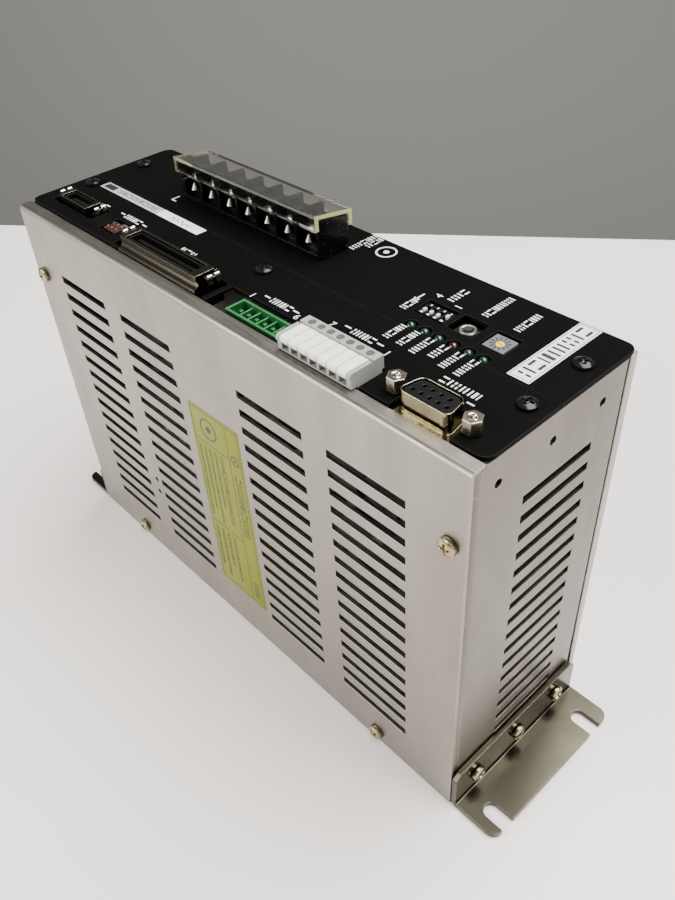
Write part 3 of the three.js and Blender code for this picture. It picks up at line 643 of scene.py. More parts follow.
part_black = finish("part_black", (0.012, 0.012, 0.013), 0.45, relief=0.008)

# %% Inks and label stock
white_ink = finish("white_ink", (0.82, 0.82, 0.80), 0.55, patch_scale=500.0, spread=0.05)
black_ink = finish("black_ink", (0.012, 0.012, 0.014), 0.5, patch_scale=500.0)
blue_ink = finish("blue_ink", (0.010, 0.012, 0.075), 0.5, patch_scale=500.0)
label_white = finish(
    "label_white", (0.84, 0.84, 0.83), 0.42, second_colour=(0.80, 0.80, 0.79), patch_scale=60.0,
    relief=0.004,
)
label_silver = finish(
    "label_silver", (0.50, 0.50, 0.50), 0.38, 0.2, second_colour=(0.44, 0.44, 0.44), patch_scale=200.0,
)
label_yellow = finish(
    "label_yellow", (0.20, 0.225, 0.010), 0.42, second_colour=(0.15, 0.17, 0.007), patch_scale=22.0,
    patch_contrast=1.8, relief=0.004, dust=0.03, specular_ior_level=0.2,
)

# %% Clear cover
# The sheet is clear inside, and its sawn ends are frosted and look yellow, because light reaches them
# through the whole length of the plastic. Distance from the middle along X tells the two apart.
cover_low, cover_high = corners_of("terminal_cover")
clear_sheet = bpy.data.materials.new("clear_sheet")
clear_sheet.use_nodes = True
clear_tree = clear_sheet.node_tree
clear_shader = clear_tree.nodes["Principled BSDF"]
clear_shader.inputs["Transmission Weight"].default_value = 1.0
clear_shader.inputs["IOR"].default_value = 1.36
position = clear_tree.nodes.new("ShaderNodeTexCoord")
split_axes = add_node(clear_tree, "ShaderNodeSeparateXYZ", links={"Vector": position.outputs["Object"]})
middle_x = (cover_low[0] + cover_high[0]) / 2 * MM
half_length = (cover_high[0] - cover_low[0]) / 2 * MM
from_middle = math_node(
    clear_tree, "ABSOLUTE", math_node(clear_tree, "SUBTRACT", split_axes.outputs["X"], middle_x),
)
sawn = remap(clear_tree, from_middle, half_length - 0.15 * MM, half_length - 0.05 * MM, 0.0, 1.0)
tint = add_node(clear_tree, "ShaderNodeMix", data_type="RGBA")
tint.inputs["A"].default_value = (0.86, 0.86, 0.82, 1)
tint.inputs["B"].default_value = (0.80, 0.76, 0.30, 1)
clear_tree.links.new(sawn, tint.inputs["Factor"])
clear_tree.links.new(tint.outputs["Result"], clear_shader.inputs["Base Color"])
clear_tree.links.new(remap(clear_tree, sawn, 0, 1, 0.0, 0.5), clear_shader.inputs["Roughness"])

frosted_yellow = finish(
    "frosted_yellow", (0.62, 0.61, 0.25), 0.5, second_colour=(0.54, 0.53, 0.20), patch_scale=300.0,
    subsurface_weight=0.2, subsurface_scale=0.002,
)

# %% Give every CAD node its material
MATERIALS = {
    "chassis": chassis_aluminium, "side_cover": cover_aluminium, "heat_sink_plate": plate_aluminium,
    "signal_panel": panel_black, "power_panel": panel_black, "bracket": bracket_nickel,
    "_screw": yellow_zinc, "encoder_shell": nickel, "control_shell": nickel, "insert": insert_black,
    "jumper_header": jumper_red, "sensor_header": header_green, "plug_header": header_green,
    "plug_body": plug_body_grey, "plug_lever": plug_white, "serial_shell": pale_chromate,
    "jackscrew": steel_jack, "terminal_block": terminal_black, "terminal_cover": clear_sheet,
    "display_board": board_green, "led_array": part_black, "mode_switch_body": insert_black,
    "mode_slider": slider_white, "reset_button_body": tinned_pin, "reset_button": cap_brown,
    "address_switch_body": rotary_grey, "address_rotor": rotor_yellow, "control_board": board_green_painted_shade,
    "power_board": board_green_painted_shade, "bus_capacitor": sleeve_blue, "line_choke": winding,
    "inrush_relay": part_black, "supply_transformer": part_black, "power_module": part_black,
    "bridge_rectifier": part_black, "brake_resistor": ceramic_case,
}
for name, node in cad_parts.items():
    fits = [key for key in MATERIALS if key in name]
    best = "_screw" if "_screw" in name else max(fits, key=len)
    node.data.materials.clear()
    node.data.materials.append(MATERIALS[best])

# %% [markdown]
# ## Broken edges
#
# Punched sheet and moulded plastic never have perfectly sharp edges, and the thin bright line along an
# edge is what the eye reads as a real object. The CAD meshes are loose triangles, so a chain of live
# modifiers welds them, joins the flat ones into whole faces and rounds what is left. The meshes
# themselves stay as they are.

# %% Round the edges of the CAD nodes
EDGE_WIDTHS = {
    "chassis": 0.12, "side_cover": 0.12, "panel": 0.15, "plate": 0.25, "bracket": 0.25,
    "plug_lever": 0.3, "plug_body": 0.1, "terminal_block": 0.2, "jackscrew": 0.25, "serial_shell": 0.12,
}
SHARP_ANGLE = math.radians(35)
KEEP_TRIANGLES = {"plug_body"}
for name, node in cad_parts.items():
    fits = [key for key in EDGE_WIDTHS if key in name]
    weld = node.modifiers.new("weld", "WELD")
    weld.merge_threshold = 0.001 * MM
    if name not in KEEP_TRIANGLES:
        flat_faces = node.modifiers.new("flat_faces", "DECIMATE")
        flat_faces.decimate_type = "DISSOLVE"
        flat_faces.angle_limit = math.radians(1)
    edges = node.modifiers.new("edges", "BEVEL")
    edges.limit_method = "ANGLE"
    edges.angle_limit = SHARP_ANGLE
    edges.width = (EDGE_WIDTHS[max(fits, key=len)] if fits else 0.1) * MM
    edges.segments = 2
    edges.use_clamp_overlap = False
    edges.harden_normals = True

# %% [markdown]
# ## Screws
#
# A pan-head screw is a dome on a short rim with a cross-shaped recess. The head is one polar surface: its
# height falls with the radius, and the recess lowers it where a point lies on either arm of the cross. The
# thread is a row of small ridges, since only its silhouette could ever be seen.

# %% The screw as a polar surface


def screw_surface(radius=3.0, rise=2.0, shank=1.3, length=6.0, spin=0.0, around=48):
    """Row j is a circle of its own radius. Its height is rise * (1 - 0.45 (r / R)^2.4) on the dome, less
    the recess, whose depth is the larger of two smooth bars that cross at the middle."""
    ridges = np.arange(0, 2 * int(length / 0.5))
    thread = np.stack([shank - 0.16 * (ridges % 2), -length + ridges * 0.25], 1)
    side = [[shank, 0], [radius * 0.98, 0], [radius, 0.12], [radius, rise * 0.3]]
    dome = np.linspace(radius * 0.97, 0.05, 22)
    crown = np.stack([dome, rise * (1 - 0.45 * (dome / radius) ** 2.4)], 1)
    rows = np.vstack([[[0.05, -length]], thread, side, crown])
    angle = np.linspace(0, 2 * np.pi, around, endpoint=False)[:, None]
    r, z = rows[:, 0][None], np.broadcast_to(rows[:, 1], (around, len(rows))).copy()
    u, v = np.abs(r * np.cos(angle + spin)), np.abs(r * np.sin(angle + spin))

    def inside(distance, limit, soft=0.14):
        return np.clip((limit - distance) / soft + 0.5, 0, 1)

    arm, breadth = radius * 0.58, radius * 0.13
    cross = np.maximum(inside(u, arm) * inside(v, breadth), inside(v, arm) * inside(u, breadth))
    on_dome = np.arange(len(rows)) >= len(rows) - len(crown)
    z -= np.where(on_dome, cross * rise * 0.62 * (1 - 0.45 * r / arm), 0)
    points = np.stack([r * np.cos(angle), r * np.sin(angle), z], -1).reshape(-1, 3)
    return points, grid_faces(around, len(rows), False) + close_ends(around, len(rows))


# %% Cover and bracket screws stand for their CAD nodes
spin = 0.3
for name in sorted(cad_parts):
    if "_screw" not in name or "jack" in name:
        continue
    low, high = corners_of(name)
    centre = (low + high) / 2
    if name.startswith("cover"):
        direction, foot = (0, -1, 0), (centre[0], low[1] + 2.0, centre[2])
    else:
        side = 1 if name.startswith("upper") else -1
        head = high[0] if side > 0 else low[0]
        direction, foot = (side, 0, 0), (head - 2.0 * side, centre[1], centre[2])
    spin += 0.9
    screw = stood(screw_surface(spin=spin), direction, foot)
    make_piece(f"{name}_detail", screw, yellow_zinc, stands_for=(name,))

# %% Black panel screws
PANEL_SCREWS = [(-103, -6.3), (1.4, -6.3), (104, -6.3), (-103, 17.3), (104, 17.3)]
for number, (x, y) in enumerate(PANEL_SCREWS, 1):
    screw = moved(screw_surface(radius=2.9, rise=1.7, spin=0.5 * number), x, y, PANEL_TOP)
    make_piece(f"panel_screw_{number}", screw, black_zinc)

# %% [markdown]
# ## Lamps, terminals and contacts
#
# The smallest parts tell the eye how large the drive is. Each of them is a profile carried round a
# circle, a rectangle or a hexagon, and the ones that repeat are made as one mesh in a single step.

# %% Indicator lamps
# A lamp is a dome on a short sleeve. Each stands in a hole of the panel, on one black holder strip.
array_low, array_high = corners_of("led_array")
LAMP_RADIUS, SLEEVE_RADIUS = 1.5, 1.75
HOLDER_TOP, SLEEVE_TOP = 150.2, 150.9
LAMP_Y = (array_low[1] + array_high[1]) / 2
LAMPS_X = np.linspace(array_low[0] + 2.6, array_high[0] - 2.6, 6)
holder = block(array_low[0], array_high[0], array_low[1], array_high[1], array_low[2], HOLDER_TOP, 0.3)
make_piece("lamp_holder", holder, part_black, stands_for=("led_array",))
dome = np.linspace(np.pi / 2, 0.02, 10)
dome_rows = np.stack([LAMP_RADIUS * np.sin(dome), array_high[2] - LAMP_RADIUS * (1 - np.cos(dome))], 1)
sleeve_rows = [[SLEEVE_RADIUS, HOLDER_TOP], [SLEEVE_RADIUS, SLEEVE_TOP], [LAMP_RADIUS, SLEEVE_TOP]]
lamp_rows = np.vstack([sleeve_rows, dome_rows])
for number, x in enumerate(LAMPS_X, 1):
    is_red = number == 4
    lamp = moved(spun(lamp_rows, 28), x, LAMP_Y)
    material, slot = (lamp_red, "red_plastic") if is_red else (lamp_green, "lamp_green")
    make_piece(f"indicator_{number}", lamp, material, stands_for=("led_array",))
print("lamps at X", LAMPS_X.round(2).tolist())

# %% Terminal screws, clamps and wire guides
TERMINALS_MIDDLE, TERMINAL_PITCH = -27.05, 10.4
POLES_X = TERMINALS_MIDDLE + TERMINAL_PITCH * (np.arange(7) - 3)
SCREW_Y, SEAT = 15.6, 160.0
clamps, guides, terminal_screws = [], [], []
for number, x in enumerate(POLES_X):
    clamps.append(block(x - 3.7, x + 3.7, SCREW_Y - 4.0, SCREW_Y + 3.15, SEAT + 0.05, SEAT + 1.28, 0.15))
    screw = screw_surface(radius=3.1, rise=2.3, spin=0.8 * number, length=0.5)
    terminal_screws.append(moved(screw, x, SCREW_Y, SEAT + 1.25))
    bell = [[0.05, -2.9], [1.35, -2.9], [1.4, -2.65], [0.8, -1.5], [0.35, -0.5], [0.05, -0.4]]
    guides.append(moved(spun(bell, 16), x - 0.2, 11.2, SEAT - 0.2))
make_piece("terminal_clamps", gathered(clamps), tinned_pin)
make_piece("terminal_wire_guides", gathered(guides), dull_guide)
make_piece("terminal_screws", gathered(terminal_screws), tinned_pin)

# %% Sawn ends of the clear cover
# The ends of the channel are frosted by the saw. Each is a film of the channel's own section, which glows
# yellow because it collects light from the whole length of the sheet.
SECTION = [
    (8.2, 163), (9.7, 163), (9.7, 166.9), (22.5, 164.8), (22.5, 160.6), (24, 160.6), (24, 165.8),
    (8.2, 168.4),
]


def end_film(x, thickness=0.06):
    """The channel's section, run from x outwards by the thickness: (u, v, w) becomes (x + w, u, v)."""
    points, faces = carry(SECTION, [[-0.02, 0.0], [-0.02, thickness]])
    return np.stack([x + points[:, 2], points[:, 0], points[:, 1]], 1), faces


sawn_ends = gathered([end_film(cover_low[0] - 0.07), end_film(cover_high[0] + 0.01)])
make_piece("cover_sawn_ends", sawn_ends, frosted_yellow, body="terminal_cover")

# %% Skirt of the long port
# Sheet metal bends out from the foot of the long port's shell and fills the notch in the panel's front
# edge.
SKIRT = [
    (-27.35, 154.6), (-27.6, 153.9), (-28.3, 153.2), (-29.1, 152.9), (-29.25, 152.7), (-29.25, 151.9),
    (-27.35, 151.9),
]
SKIRT_START, SKIRT_LENGTH = -47.9, 43.2
points, faces = carry(SKIRT, [[0.0, 0.0], [0.0, SKIRT_LENGTH]])
skirt = np.stack([SKIRT_START + points[:, 2], points[:, 0], points[:, 1]], 1), faces
make_piece("control_port_skirt", skirt, nickel)

# %% Contacts in the shielded ports
# A ribbon contact is a thin strip that lies along the blade. Both rows are made for each port.


def blade_contacts(node, blade_half_width=0.75, pitch=1.27):
    """Two rows of strips on the sides of the port's blade."""
    low, high = corners_of(node)
    middle = (low + high) / 2
    count = int((high[0] - low[0] - 6.5) / pitch) + 1
    strips = []
    for x in middle[0] + pitch * (np.arange(count) - (count - 1) / 2):
        for side in (-1, 1):
            y = middle[1] + side * blade_half_width
            strips.append(block(x - 0.3, x + 0.3, y - 0.12, y + 0.12, high[2] - 4.5, high[2] - 1.5, 0.06))
    return gathered(strips)


for port in ("encoder", "control"):
    make_piece(f"{port}_contacts", blade_contacts(f"{port}_insert"), contact_gold)

# %% Latch hooks at the ends of the ports
# Each end of a port has a spring latch: two thin legs bent over into a round nose.
NOSE, NOSE_LEAN, LEG = 0.85, 0.3, 3.2


def latch_hook(x, y0, y1, top, side):
    """One leg: an upright strip from y0 to y1 whose top is half a circle of the radius NOSE."""
    turn = np.linspace(0, np.pi, 9)
    middle = x + side * NOSE_LEAN
    nose = np.stack([middle + side * NOSE * np.cos(turn), top - NOSE + NOSE * np.sin(turn)], 1)
    feet = [(middle + end * side * NOSE, top - LEG) for end in (1, -1)]
    shape = np.vstack([feet[:1], nose, feet[1:]])
    points, faces = carry(shape, [[0.0, 0.15], [0.0, y1 - y0 - 0.15]])
    return np.stack([points[:, 0], y1 - points[:, 2], points[:, 1]], 1), faces


hooks = []
for port in ("encoder", "control"):
    low, high = corners_of(f"{port}_shell")
    for side, x in ((-1, low[0] + 1.1), (1, high[0] - 1.1)):
        middle_y = (low[1] + high[1]) / 2 + 1.0
        for start, end in ((-2.4, -0.5), (0.5, 2.4)):
            hooks.append(latch_hook(x, middle_y + start, middle_y + end, high[2] + 0.1, side))
make_piece("port_latch_hooks", gathered(hooks), bright_nickel)

# %% Pins of the open header
# A header pin is square, with a tapered tip.
PIN_PITCH, PIN_FOOT, PIN_TOP = 3.81, 138.0, 149.0
tip = [[-0.1, PIN_FOOT], [0, PIN_FOOT + 0.1], [0, PIN_TOP - 0.8], [-0.3, PIN_TOP], [-0.48, PIN_TOP]]
pin = carry(rectangle(-0.5, 0.5, -0.5, 0.5, 0.08, 1), tip)
header_x, header_y = middle_of("sensor_header")[:2]
header_pins = [moved(pin, x, header_y) for x in header_x + PIN_PITCH * (np.arange(6) - 2.5)]
make_piece("sensor_header_pins", gathered(header_pins), tinned_pin)

# %% Jumper pins
JUMPER_PITCH = 2.54
jumper_x, jumper_y = middle_of("jumper_header")[:2]
jumper_top = corners_of("jumper_header")[1][2]
small_square = rectangle(-0.34, 0.34, -0.34, 0.34, 0.06, 1)
jumper_tip = carry(small_square, [[0, jumper_top - 0.6], [0, jumper_top + 0.05], [-0.2, jumper_top + 0.3]])
jumper_pins = [
    moved(jumper_tip, jumper_x + column * JUMPER_PITCH, jumper_y + 0.2 + row * JUMPER_PITCH)
    for column in (-1, 0, 1)
    for row in (-0.5, 0.5)
]
make_piece("jumper_pins", gathered(jumper_pins), dull_pin)

# %% Nine-way port: contact rings and threaded standoffs
SERIAL_PITCH, SERIAL_ROW = 2.77, 1.42
serial_x, serial_y = middle_of("serial_shell")[0], middle_of("jackscrew_1")[1]
serial_top = corners_of("serial_insert")[1][2]
ring_rows = [[-0.38, -0.3], [-0.22, -0.3], [-0.22, 0.03], [-0.26, 0.06], [-0.38, 0.02]]
contact_ring = carry(circle(1.0, 16), ring_rows, ring=True)
sockets = []
for count, offset in ((5, -SERIAL_ROW), (4, SERIAL_ROW)):
    for x in serial_x + SERIAL_PITCH * (np.arange(count) - (count - 1) / 2):
        sockets.append(moved(contact_ring, x, serial_y + offset, serial_top))
make_piece("serial_contact_rings", gathered(sockets), insert_black)

threads = []
for number in (1, 2):
    jack_x, jack_y = middle_of(f"jackscrew_{number}")[:2]
    jack_top = corners_of(f"jackscrew_{number}")[1][2]
    turns = np.arange(9)
    inner = np.stack([1.08 - 0.14 * (turns % 2) - 1.0, -2.4 + 0.3 * turns], 1)
    bore = np.vstack([[[0.5, -2.4]], [[0.5, 0.0]], [[0.35, 0.12]], [[0.15, 0.05]], inner[::-1]])
    threads.append(moved(carry(circle(1.0, 24), bore, ring=True), jack_x, jack_y, jack_top))
make_piece("jackscrew_threads", gathered(threads), bright_nickel)

# %% Plug: wire entries
# Each round entry of the plug is closed a little way down by a dark grey disc, which stands for the spring
# clamp. Its dark grey is also painted shade of the deep hole.
ENTRY_Y, ENTRIES_MIDDLE = -20.7, 52.2
ENTRIES_X = ENTRIES_MIDDLE + PIN_PITCH * (np.arange(7) - 3)
entry_depth = corners_of("plug_body")[1][2] - 0.25
disc = spun([[0.05, -0.4], [1.23, -0.4], [1.23, -0.05], [0.6, -0.12], [0.05, -0.14]], 20)
discs = [moved(disc, x, ENTRY_Y, entry_depth) for x in ENTRIES_X]
make_piece("plug_wire_entries", gathered(discs), wire_entry_painted_shade_grey, body="plug")

# %% Reset button's frame
button_x, button_y = middle_of("reset_button_body")[:2]
collar_foot = corners_of("reset_button_body")[1][2] + 0.02
collar = [[0.62, 0.0], [1.75, 0.0], [1.75, 0.35], [1.45, 0.65], [0.95, 0.7], [0.62, 0.5]]
frame_ring = moved(carry(circle(1.0, 40), collar, ring=True), button_x, button_y, collar_foot)
make_piece("reset_button_frame", frame_ring, dull_guide)

# %% Green board under the reset button
# The window in the panel shows bare board round the button.
CARRIER_X, CARRIER_Y, CARRIER_Z = (65.0, 74.6), (7.4, 16.6), (149.0, 149.7)
carrier = block(*CARRIER_X, *CARRIER_Y, *CARRIER_Z)
make_piece("reset_button_carrier", carrier, board_deep_green)

# %% [markdown]
# ## Printed marks, stickers and labels
#
# Marks on a front panel are screen-printed: a film of ink a few hundredths of a millimetre thick. They are
# made as real, very thin solids. Digits are the only characters. Where a word would be, a row of plain
# ticks stands in for it, of about its length and weight.

# %% Ink on a face
INK = 0.04


def ink_bar(x0, x1, y0, y1):
    """A bar of ink that lies in a plane, with its face at INK above it."""
    outline = np.array([[x0, y0], [x1, y0], [x1, y1], [x0, y1]], float)
    return carry(outline, [[0, 0.0], [0, INK]])


def ink_shape(corners):
    return carry(np.asarray(corners, float), [[0, 0.0], [0, INK]])


def ink_line(start, end, width):
    """A straight stroke between two points."""
    a, b = np.asarray(start, float), np.asarray(end, float)
    side = np.array([b[1] - a[1], a[0] - b[0]])
    side *= width / 2 / np.linalg.norm(side)
    return ink_shape([a + side, b + side, b - side, a - side])


# Each stand-in letter is a few strokes in a cell one unit high: (x0, x1, y0, y1) as shares of the cell.
LETTER_SHAPES = (
    ((0.0, 0.18, 0.0, 1.0), (0.48, 0.66, 0.0, 1.0)),
    ((0.0, 0.66, 0.0, 0.22), (0.0, 0.66, 0.78, 1.0)),
    ((0.0, 0.18, 0.0, 0.40), (0.0, 0.18, 0.60, 1.0), (0.48, 0.66, 0.0, 1.0)),
    ((0.0, 0.30, 0.0, 1.0), (0.52, 0.66, 0.0, 1.0)),
    ((0.0, 0.18, 0.0, 1.0), (0.48, 0.66, 0.0, 0.40), (0.48, 0.66, 0.60, 1.0)),
)


def ticks(length, height, first=0):
    """A row of stand-in letters, length long and height high, from the origin along +X."""
    count = max(2, round(length / (0.95 * height)))
    cell = length / (count - 0.18)
    bars = []
    for number in range(count):
        for x0, x1, y0, y1 in LETTER_SHAPES[(number * 3 + first) % len(LETTER_SHAPES)]:
            left = number * cell
            bars.append(ink_bar(left + x0 * cell * 1.1, left + x1 * cell * 1.1, y0 * height, y1 * height))
    return gathered(bars)


def turned(surface, degrees):
    """The surface turned about Z."""
    points, faces = surface
    angle = math.radians(degrees)
    turn = np.array(
        [[math.cos(angle), math.sin(angle), 0], [-math.sin(angle), math.cos(angle), 0], [0, 0, 1]],
    )
    return points @ turn, faces


# %% Digits from Blender's own typeface


def digit(character, height):
    """A digit of the built-in font as a thin solid, with its lower left corner at the origin."""
    curve = bpy.data.curves.new("digit", "FONT")
    curve.body = character
    curve.size = 1.0
    curve.resolution_u = 3
    curve.extrude = 0.5
    text = bpy.data.objects.new("digit", curve)
    mesh = bpy.data.meshes.new_from_object(text)
    count = len(mesh.vertices)
    points = np.empty(count * 3)
    mesh.vertices.foreach_get("co", points)
    points = points.reshape(-1, 3)
    points -= points.min(0)
    points *= (height / points[:, 1].max(), height / points[:, 1].max(), INK)
    faces = [list(face.vertices) for face in mesh.polygons]
    bpy.data.objects.remove(text)
    bpy.data.curves.remove(curve)
    bpy.data.meshes.remove(mesh)
    return points, faces


# %% Marks on the two front panels
FACE = PANEL_TOP
DIGIT_HEIGHT, DASH_LENGTH, DASH_WIDTH = 2.5, 2.4, 0.55
LAMP_WORD_BESIDE, LAMP_WORD_START = 1.9, 0.1
NOTICE_X, NOTICE_Y = 21.8, 28.2
prints = []


def put(surface, x, y, turn=0):
    prints.append(moved(turned(surface, turn), x, y, FACE))


# Words that run along the case, as (start X, end X, foot Y, letter height).
ALONG_WORDS = [
    (-68.0, -58.4, -14.8, 2.5), (-31.6, -23.9, -16.2, 2.4), (17.0, 25.9, -17.3, 2.6),
    (47.4, 56.1, -12.9, 2.6), (80.8, 93.7, -13.2, 2.6),
]
for x0, x1, y, height in ALONG_WORDS:
    put(ticks(x1 - x0, height, round(x0)), x0, y)
# Dashes at the ends of those words, as (start X, Y).
DASHES = [
    (-81.8, -13.5), (-71.6, -13.5), (-57.2, -13.9), (13.5, -16.1), (26.5, -16.0), (43.8, -11.4),
    (56.9, -11.7), (92.2, -15.6),
]
for x, y in DASHES:
    put(ink_bar(0, DASH_LENGTH, 0, DASH_WIDTH), x, y)
# Digits, as (character, X, Y, turn).
DIGITS = [
    ("1", 10.2, -19.4, 0), ("6", 29.2, -18.7, 0), ("7", 39.8, -14.4, 0), ("1", 62.3, -14.5, 0),
    ("4", 54.0, 18.0, 90), ("1", 62.4, 17.6, 90),
]
for character, x, y, turn in DIGITS:
    put(digit(character, DIGIT_HEIGHT), x, y, turn)
# Words that run across the case, towards the vented cover, as (foot X, start Y, end Y, letter height).
ACROSS_WORDS = [
    (48.0, 12.3, 6.5, 2.4), (55.8, 26.4, 18.7, 2.4), (68.6, 31.7, 18.9, 2.4), (80.0, 29.4, 18.7, 2.4),
    (10.2, 34.0, 22.2, 2.3), (13.2, 33.6, 26.6, 2.3),
]
LAMP_WORD_LENGTHS = (8.0, 8.1, 8.7, 6.8, 8.5, 8.6)
for x, length in zip(LAMPS_X, LAMP_WORD_LENGTHS):
    ACROSS_WORDS.append((x - LAMP_WORD_BESIDE, LAMP_WORD_START, LAMP_WORD_START - length, 2.3))
for x, y0, y1, height in ACROSS_WORDS:
    put(ticks(y0 - y1, height, round(x)), x, y0, -90)
# An arrow beside the row of small switches.
put(ink_line((48.8, 16.8), (48.8, 12.6), 0.5), 0, 0)
put(ink_shape([(48.8, 11.7), (50.0, 13.6), (47.6, 13.6)]), 0, 0)
# A corner mark by the terminal strip.
put(ink_line((-66.9, 5.4), (-66.9, 9.2), 0.55), 0, 0)
put(ink_line((-66.9, 5.65), (-64.4, 5.65), 0.55), 0, 0)
# A plain round notice beside the supply words.
notice = carry(circle(1.0, 40), [[2.6, 0.0], [2.6, INK], [2.0, INK], [2.0, 0.0]], ring=True)
put(notice, NOTICE_X, NOTICE_Y)
put(spun([[0.05, 0.0], [1.0, 0.0], [1.0, INK], [0.05, INK]], 20), NOTICE_X, NOTICE_Y)
make_piece("panel_prints", gathered(prints), white_ink)
print("panel prints:", len(prints))

# %% Small-switch and dial marks
SLIDER_PITCH = 2.54
switch_x, switch_y = middle_of("mode_switch_body")[:2]
switch_top = corners_of("mode_switch_body")[1][2]
switch_marks = []
for x in switch_x + SLIDER_PITCH * (np.arange(4) - 1.5):
    switch_marks.append(moved(ink_bar(-0.45, 0.45, -0.35, 0.35), x, switch_y - 2.2, switch_top))
    switch_marks.append(moved(ink_bar(-0.18, 0.18, -0.4, 0.4), x, switch_y + 2.25, switch_top))
make_piece("mode_switch_marks", gathered(switch_marks), white_ink)

DIAL_POSITIONS = 12
dial_x, dial_y = middle_of("address_switch_body")[:2]
dial_top = corners_of("address_switch_body")[1][2]
dial_mark = ink_bar(-0.24, 0.24, 1.95, 3.1)
dial_marks = [
    moved(turned(dial_mark, degrees), dial_x, dial_y, dial_top)
    for degrees in range(0, 360, 360 // DIAL_POSITIONS)
]
make_piece("dial_marks", gathered(dial_marks), blue_ink)

# %% Stickers on the front panels
STICKER = 0.08
# White sticker on the power panel, with a frame and a row of stand-in letters.
make_piece(
    "name_sticker", moved(slab(rectangle(91.7, 98.9, 1.0, 33.9, 0.3), 0, STICKER, 0.03), z=FACE),
    label_white,
)
big_letters = turned(ticks(29.0, 4.2, 1), -90)
name_marks = [moved(big_letters, 93.2, 32.0, FACE + STICKER)]
for x in (92.2, 98.4):
    name_marks.append(moved(ink_line((x, 1.6), (x, 33.3), 0.2), z=FACE + STICKER))
for y in (1.6, 33.3):
    name_marks.append(moved(ink_line((92.1, y), (98.5, y), 0.2), z=FACE + STICKER))
make_piece("name_sticker_marks", gathered(name_marks), black_ink)

# Two-part sticker on the signal panel.
STRIP_LOW, STRIP_HIGH = -5.6, -1.2
SILVER_X, WHITE_X = (-99.0, -61.4), (-61.2, -36.0)
silver = slab(rectangle(*SILVER_X, STRIP_LOW, STRIP_HIGH, 0.3), 0, STICKER, 0.03)
make_piece("number_sticker", moved(silver, z=FACE), label_silver)
white = slab(rectangle(*WHITE_X, STRIP_LOW, STRIP_HIGH, 0.2), 0, STICKER, 0.03)
make_piece("note_sticker", moved(white, z=FACE), label_white)
strip_marks = [moved(ink_bar(-97.8, -91.0, STRIP_LOW + 0.7, STRIP_HIGH - 0.7), z=FACE + STICKER)]
strip_marks.append(moved(ticks(25.5, 2.3, 2), -89.0, STRIP_LOW + 1.1, FACE + STICKER))
# A pen scribble on its white half.
SCRIBBLE_START, SCRIBBLE_LENGTH, SCRIBBLE_FOOT = -54.5, 12.0, -4.7
heights = np.array([0.0, 2.0, 0.2, 1.8, 0.3, 2.1, 0.1, 1.7, 0.5, 1.9])
zigzag = np.stack(
    [SCRIBBLE_START + np.linspace(0, SCRIBBLE_LENGTH, len(heights)), SCRIBBLE_FOOT + heights], 1,
)
for start, end in zip(zigzag, zigzag[1:]):
    strip_marks.append(moved(ink_line(start, end, 0.34), z=FACE + STICKER))
make_piece("strip_sticker_marks", gathered(strip_marks), black_ink)

# %% Yellow label on the vented cover
# The label is laid out flat first: U runs along the case and V up it. It is then stood against the cover.
LABEL_X, LABEL_Z = (-13.1, 15.0), (20.0, 110.2)


def on_cover(surface, lift=0.0):
    """Stands a flat layout against the cover: its X stays, its Y becomes Z, and its Z points outwards."""
    points, faces = surface
    return np.stack([points[:, 0], COVER_FACE - lift - points[:, 2], points[:, 1]], 1), faces


label = slab(rectangle(*LABEL_X, *LABEL_Z, 0.6), 0, STICKER, 0.03)
make_piece("yellow_label", on_cover(label), label_yellow)
marks = []
(x0, x1), (z0, z1) = LABEL_X, LABEL_Z
inset, thin = 1.1, 0.22
column_x = x1 - 7.6
cell_z, lower_z = z1 - 15.5, z0 + 34.0
left, right, foot, head = x0 + inset, x1 - inset, z0 + inset, z1 - inset
frame_corners = [(left, foot), (right, foot), (right, head), (left, head), (left, foot)]
for start, end in zip(frame_corners, frame_corners[1:]):
    marks.append(ink_line(start, end, thin))
marks.append(ink_line((column_x, foot), (column_x, head), thin))
for level in (cell_z, lower_z):
    marks.append(ink_line((left, level), (column_x, level), thin))
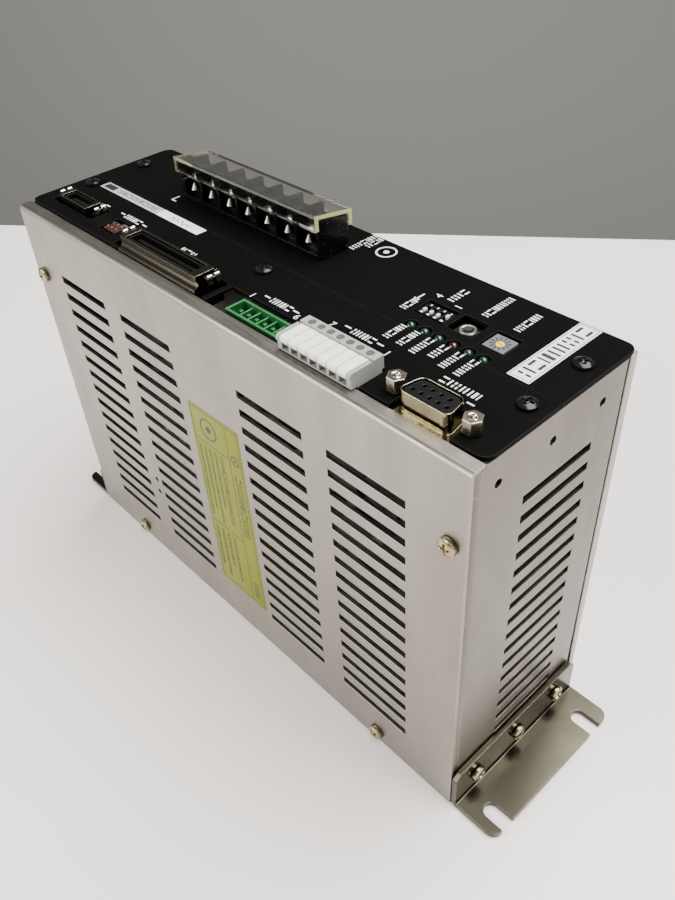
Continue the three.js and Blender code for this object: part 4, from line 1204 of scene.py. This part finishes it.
# The large words run down the right-hand column, and the text runs down beside it in rows of ticks, five
# above the lower line and four below it.
marks.append(moved(turned(ticks(30.0, 3.4, 1), -90), column_x + 1.6, z1 - 22.0))
marks.append(moved(turned(ticks(9.0, 3.0, 2), -90), column_x + 1.8, z0 + 13.0))
for line, (gap, size) in enumerate([(3, 1.25), (8, 1.25), (2, 1.25), (12, 1.25), (5, 2.1)]):
    top, bottom = cell_z - 2, lower_z + gap
    marks.append(moved(turned(ticks(top - bottom, size, line), -90), x0 + 2.4 + 3.0 * line, top))
for line, length in enumerate((22, 27, 18, 25)):
    marks.append(moved(turned(ticks(length, 1.5, line + 1), -90), x0 + 2.6 + 3.6 * line, lower_z - 2.5))
# Plain round signs, each a dot in a ring.
for x, z, radius in ((x0 + 10.2, z1 - 8.3, 4.6), (x1 - 4.3, z1 - 14.5, 2.2)):
    outer, inner = radius - 1, radius - 1.55
    ring = carry(circle(1.0, 44), [[outer, 0.0], [outer, INK], [inner, INK], [inner, 0.0]], ring=True)
    marks.append(moved(ring, x, z))
    dot = spun([[0.05, 0.0], [0.3 * radius, 0.0], [0.3 * radius, INK], [0.05, INK]], 20)
    marks.append(moved(dot, x, z))
make_piece("yellow_label_marks", on_cover(gathered(marks), STICKER), black_ink)

# %% [markdown]
# ## Inside the case
#
# Through the vents one sees rows of small dark parts on the control board. A seeded random layout of
# chips and small cans is enough, since only glints of them ever show.

# %% Parts on the control board
board_face = corners_of("control_board")[0][1]
BOARD_ROWS, BOARD_COLUMNS = np.arange(18, 132, 11.5), np.arange(-96, 98, 12.5)
EMPTY_SHARE, CHIP_SHARE = 0.2, 0.8
random = np.random.default_rng(7)
chips, cans = [], []
for z in BOARD_ROWS:
    for x in BOARD_COLUMNS:
        if random.random() < EMPTY_SHARE:
            continue
        across, along = random.uniform(2.0, 4.6), random.uniform(2.0, 4.2)
        height = random.uniform(1.0, 2.2)
        cx, cz = x + random.uniform(-2, 2), z + random.uniform(-1.5, 1.5)
        if random.random() < CHIP_SHARE:
            part = block(-across, across, -along, along, 0, height, 0.15)
            chips.append(moved(stood(part, (0, -1, 0), (0, 0, 0)), cx, board_face, cz))
        else:
            can = spun([[0.05, 0], [2.4, 0], [2.4, 4.6], [2.1, 5.0], [0.05, 5.0]], 18)
            cans.append(moved(stood(can, (0, -1, 0), (0, 0, 0)), cx, board_face, cz))
make_piece("board_chips", gathered(chips), part_black)
make_piece("board_small_cans", gathered(cans), plate_aluminium)
print("board parts:", len(chips) + len(cans))

# %% Sizes
low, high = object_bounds()
